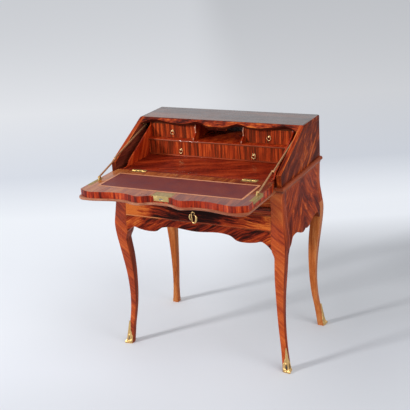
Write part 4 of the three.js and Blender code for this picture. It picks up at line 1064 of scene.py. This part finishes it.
# %% [markdown]
# Each stay is two flat brass links. The lower one turns on an ear of an angle plate that is
# let into the corner of the flap, the upper one on a plate screwed to the side of the case.
# The links keep their CAD shape, get broken edges as a file leaves them, and show the heads
# of their rivets. The metal has browned more than the hinges.

# %% Stays
FOOT_PIVOT, ELBOW, CASE_PIVOT = (-563, 779), (-433.95, 815.42), (-175, 888.5)
for side, sign in SIDES:
    shape = cad_shape(f"stay_foot_{side}")
    for v in shape.verts:
        if abs(v.co.z - WRITING_Z * MM) < 0.05 * MM:
            v.co.z += 0.25 * MM
    ease(shape, 0.4)
    add_piece(f"stay_foot_{side}_dressed", shape, foot_brass, "flap", [f"stay_foot_{side}"])
    eased_copy(f"stay_lower_{side}", stay_brass, f"stay_lower_{side}", width=0.9)
    eased_copy(f"stay_upper_{side}", stay_brass, f"stay_upper_{side}", width=0.9)
    add_piece(f"stay_foot_rivet_{side}", rivet(sign * 321.3, sign * 330.4, *FOOT_PIVOT),
              brass, "flap", smooth_angle=50)
    add_piece(f"stay_elbow_rivet_{side}", rivet(sign * 326.2, sign * 335.4, *ELBOW, dome=0.9),
              brass, f"stay_upper_{side}", smooth_angle=50)
    add_piece(f"stay_head_rivet_{side}", rivet(sign * 334.0, sign * 331.2, *CASE_PIVOT, radius=3.0),
              brass, f"stay_upper_{side}", smooth_angle=50)
    y, z = CASE_PIVOT
    plate = turned([(9.5, 0.05), (9.5, 0.9), (9.0, 1.3), (3.4, 1.3)], (sign * 339, y, z),
                   (-sign, 0, 0), 36)
    heads = [screw((sign * 337.7, y + dy, z - 0.3 * dy), (-sign, 0, 0), 1.7, 40 * dy)
             for dy in (-6.2, 6.2)]
    add_piece(f"stay_case_plate_{side}", together([plate] + heads), brass, "case")
    foot_screws = [screw((sign * 329.2, -DEPTH - r, WRITING_Z), (0, 0, 1), 2.2, r)
                   for r in (128, 165, 183, 201)]
    add_piece(f"stay_foot_screws_{side}", together(foot_screws), brass, "flap")
print("two stays")

# %% [markdown]
# The flap turns on two butt hinges let in flush, and the lock sits in the middle of its far
# edge with a second plate that wraps over the edge. Every leaf and plate is held by slotted
# screws whose heads stand just proud.

# %% Hinges and flap lock
HINGE_X, LOCK_FRONT = 234, 250
lock_brass = metal("brass_lock_plate_polished", "#c8ac72", "#6e5630", 0.3, 16, 0.03, patina=0.4)
for side, sign in SIDES:
    for part, body, way in (("flap", "flap", -1), ("case", "case", 1)):
        eased_copy(f"hinge_leaf_{part}_{side}", brass, body, width=0.35)
        heads = [screw((sign * HINGE_X + dx, -DEPTH + way * 10.5, WRITING_Z), (0, 0, 1), 2.1, 9 * dx)
                 for dx in (-21, 0, 21)]
        add_piece(f"hinge_screws_{part}_{side}", together(heads), brass, body)
eased_copy("flap_lock", lock_brass, "flap", width=0.4)
heads = [screw((x, -DEPTH - r, WRITING_Z), (0, 0, 1), 2.2, 3 * x + r)
         for x in (-32, 32) for r in (215, 240)]
heads += [screw((x, -DEPTH - LOCK_FRONT, WRITING_Z - 11), (0, -1, 0), 2.0, 4 * x)
          for x in (-24, 24)]
add_piece("flap_lock_screws", together(heads), lock_brass, "flap")
print("hinges and lock screwed on")

# %% [markdown]
# The keyhole plate is rococo: an uneven frame of C-scrolls, leaves and small knobs round an
# open middle. Each scroll is a rounded bar that follows a smooth line over the swelling
# drawer front and grows or shrinks along it. The keyhole is a near-black plug of painted shade.

# %% Keyhole plate
ESCUTCHEON = (-7.5, 600)


def scroll(points, count=26, sides=10):
    """Bar along (x, z, half width) points on the drawer's face, about two thirds as high."""
    stations = list(range(len(points)))
    across, upward, half = (curve([(s, q[k]) for s, q in zip(stations, points)])
                            for k in range(3))
    rings = []
    for s in steps(0, len(points) - 1, count):
        x, z, w = across(s), upward(s), half(s)
        dx, dz = across(s + 0.05) - across(s - 0.05), upward(s + 0.05) - upward(s - 0.05)
        size = math.hypot(dx, dz) or 1
        nx, nz = -dz / size, dx / size
        ring = []
        for b in steps(0, 360, sides)[:-1]:
            c, h = math.cos(math.radians(b)), math.sin(math.radians(b))
            lift = 0.5 + w * 0.7 * (h + 0.35)
            ring.append((x + nx * w * c, -DEPTH - bulge(z + nz * w * c) - max(lift, 0.15),
                         z + nz * w * c))
        rings.append(ring)
    return ring_body(rings)


X0, Z0 = ESCUTCHEON
bars = [
    [(3, -22, 1.5), (8, -17, 3.2), (11.5, -9, 4.2), (12.3, 0, 4.5), (11, 7, 4.0), (7, 11, 2.2)],
    [(-7.5, 11.5, 1.2), (-14, 11, 2.6), (-17, 5, 3.0), (-16.5, -2, 2.8), (-13, -8, 2.2),
     (-8.5, -8, 1.4)],
    [(-7, 13, 1.0), (-8, 7, 2.2), (-7.6, 1, 2.4), (-6.4, -5, 2.0), (-5, -11, 1.4)],
    [(-9, 14, 1.2), (-8, 19, 2.4), (-2, 22.5, 2.6), (3.5, 20, 1.6), (3.5, 14, 1.0)],
    [(-7, -12, 1.6), (-3, -17, 2.6), (2, -20, 3.6), (5.5, -20, 1.6)]]
key_outline = [(2.3 * math.sin(math.radians(a)), 4 + 2.3 * math.cos(math.radians(a)))
               for a in steps(-146, 146, 24)]
key_outline += [(1.3, -7.5), (-1.3, -7.5)]
mouth = [[(X0 + x, -DEPTH - bulge(Z0 + z) - rise, Z0 + z) for x, z in key_outline]
         for rise in (-0.4, 0.35)]
knob_profile = [(2.6, 0.2), (2.9, 1.4), (2.3, 2.9), (1.1, 3.6), (0.1, 3.8)]
knobs = [turned(knob_profile, (X0 + x, -DEPTH - bulge(Z0 + z), Z0 + z), (0, -1, 0), 14)
         for x, z in ((3.4, 12.5), (-6, -12), (2, -20), (-15, 9.5))]
cast = together([scroll([(X0 + x, Z0 + z, w) for x, z, w in bar]) for bar in bars] + knobs)
add_piece("escutcheon_cast", cast, gilt, "frieze_drawer", ["escutcheon"], smooth_angle=60)
# Painted shade: the keyhole is not cut through; a near-black plug in its shape stands for the dark hole.
dark = metal("keyhole_painted_shade", "#2a1d14", "#120b07", 0.6, 4, 0.04)
add_piece("keyhole_shade_plug", ring_body(mouth), dark, "frieze_drawer")
print("keyhole plate of", len(bars), "scrolls")

# %% [markdown]
# The sabots are cast bronze, chased and mercury-gilt. Each is an angle over the outer corner
# of the foot, with a rib up to the tip of a leaf, an oval window and a small scroll on either
# face and a toe at the floor. The relief is real geometry: a fine grid wraps the corner, and
# every point is pushed out by the height of the pattern there.

# %% Sabots
LEAF_TOP, SHOE_THICK, TOE_OUT, CORNER_R = 98, 2.6, 10, 4.0


LEAF_EDGE = curve([(0, 24), (12, 25), (27, 24.5), (40, 18), (54, 10.5), (72, 6.5), (86, 4.2),
                   (LEAF_TOP, 1.8)])
WINDOW = (8.6, 21, 4.2, 11)


def leaf_reach(z):
    """How far the cast leaf covers each face of the foot; its edge is cut in small lobes."""
    lobes = 1 - 0.16 * abs(math.cos(math.pi * (z - 6) / 17)) * min(1, z / 30)
    return LEAF_EDGE(z) * lobes


def relief(s, z):
    """Height of the pattern over the plain cup, s millimetres from the corner."""
    rib = 1.7 * math.exp(-(s / 2.2) ** 2) * min(1, z / 14)
    ring = math.hypot((s - WINDOW[0]) / WINDOW[2], (z - WINDOW[1]) / WINDOW[3]) - 1.3
    rim = 1.5 * math.exp(-(ring / 0.3) ** 2)
    volute = 2.2 * math.exp(-((math.hypot(s - 18, z - 9) - 3.6) / 1.5) ** 2)
    veins = 0.4 * math.cos(2 * math.pi * (s / 3.2 - z / 13)) * min(1, s / 3)
    flare = 3.2 * math.exp(-((z - 4) / 7) ** 2) * min(1, s / 8)
    return rib + rim + volute + veins + flare


def sabot(sx, sy):
    across, levels = steps(-1, 1, 56), steps(0, LEAF_TOP, 66)
    outside, inside = [], []
    for u in across:
        out_column, in_column = [], []
        for z in levels:
            s = abs(u) * leaf_reach(z)
            edge = min(1, (leaf_reach(z) - s) / 1.5)
            toe = TOE_OUT * math.exp(-((z - 5) / 7.5) ** 2) * math.exp(-(s / 7) ** 2)
            lift = 0.6 + edge * max(SHOE_THICK - 0.9 + relief(s, z), 0.2)
            turn = min(s / CORNER_R, math.pi / 4)
            straight = max(s - CORNER_R * math.pi / 4, 0)
            for column, corner, push in ((out_column, bulge(z) + lift, toe * 0.62),
                                         (in_column, bulge(z) + 0.3, 0)):
                a = corner - CORNER_R + CORNER_R * math.cos(math.pi / 4 - turn) + push
                b = corner - CORNER_R + CORNER_R * math.sin(math.pi / 4 - turn) - straight + push
                if u < 0:
                    a, b = b, a
                column.append((sx * (HALF_WIDTH + a), -DEPTH - b if sy < 0 else b, z))
        outside.append(out_column)
        inside.append(in_column)

    def window(i, j):
        z = (levels[j] + levels[j + 1]) / 2
        s = abs(across[i] + across[i + 1]) / 2 * leaf_reach(z)
        return math.hypot((s - WINDOW[0]) / WINDOW[2], (z - WINDOW[1]) / WINDOW[3]) < 1
    return sheet_body(outside, inside, window)


def window_shade_sheet(sx, sy):
    """Sheet of painted shade behind the windows of a shoe, on both faces round the corner."""
    outside, inside = [], []
    for u in steps(-1, 1, 28):
        s = abs(u) * (WINDOW[0] + WINDOW[2] + 1)
        turn = min(s / CORNER_R, math.pi / 4)
        straight = max(s - CORNER_R * math.pi / 4, 0)
        for columns, out in ((outside, 0.75), (inside, 0.15)):
            column = []
            for z in steps(WINDOW[1] - WINDOW[3] - 1, WINDOW[1] + WINDOW[3] + 1, 10):
                corner = bulge(z) + out
                a = corner - CORNER_R + CORNER_R * math.cos(math.pi / 4 - turn)
                b = corner - CORNER_R + CORNER_R * math.sin(math.pi / 4 - turn) - straight
                if u < 0:
                    a, b = b, a
                column.append((sx * (HALF_WIDTH + a), -DEPTH - b if sy < 0 else b, z))
            columns.append(column)
    return sheet_body(outside, inside)


for place_name, sy in (("front", -1), ("back", 1)):
    for side, sx in SIDES:
        add_piece(f"sabot_{place_name}_{side}", sabot(sx, sy), gilt, "case",
                  [f"shoe_{place_name}_{side}"], smooth_angle=60)
        # Painted shade: a grey-black sheet behind each shoe's windows stands for the dark seen through
        # them.
        add_piece(f"sabot_{place_name}_{side}_lining", window_shade_sheet(sx, sy), painted_shade_grey, "case",
                  smooth_angle=60)
print("four sabots, each with a painted lining")
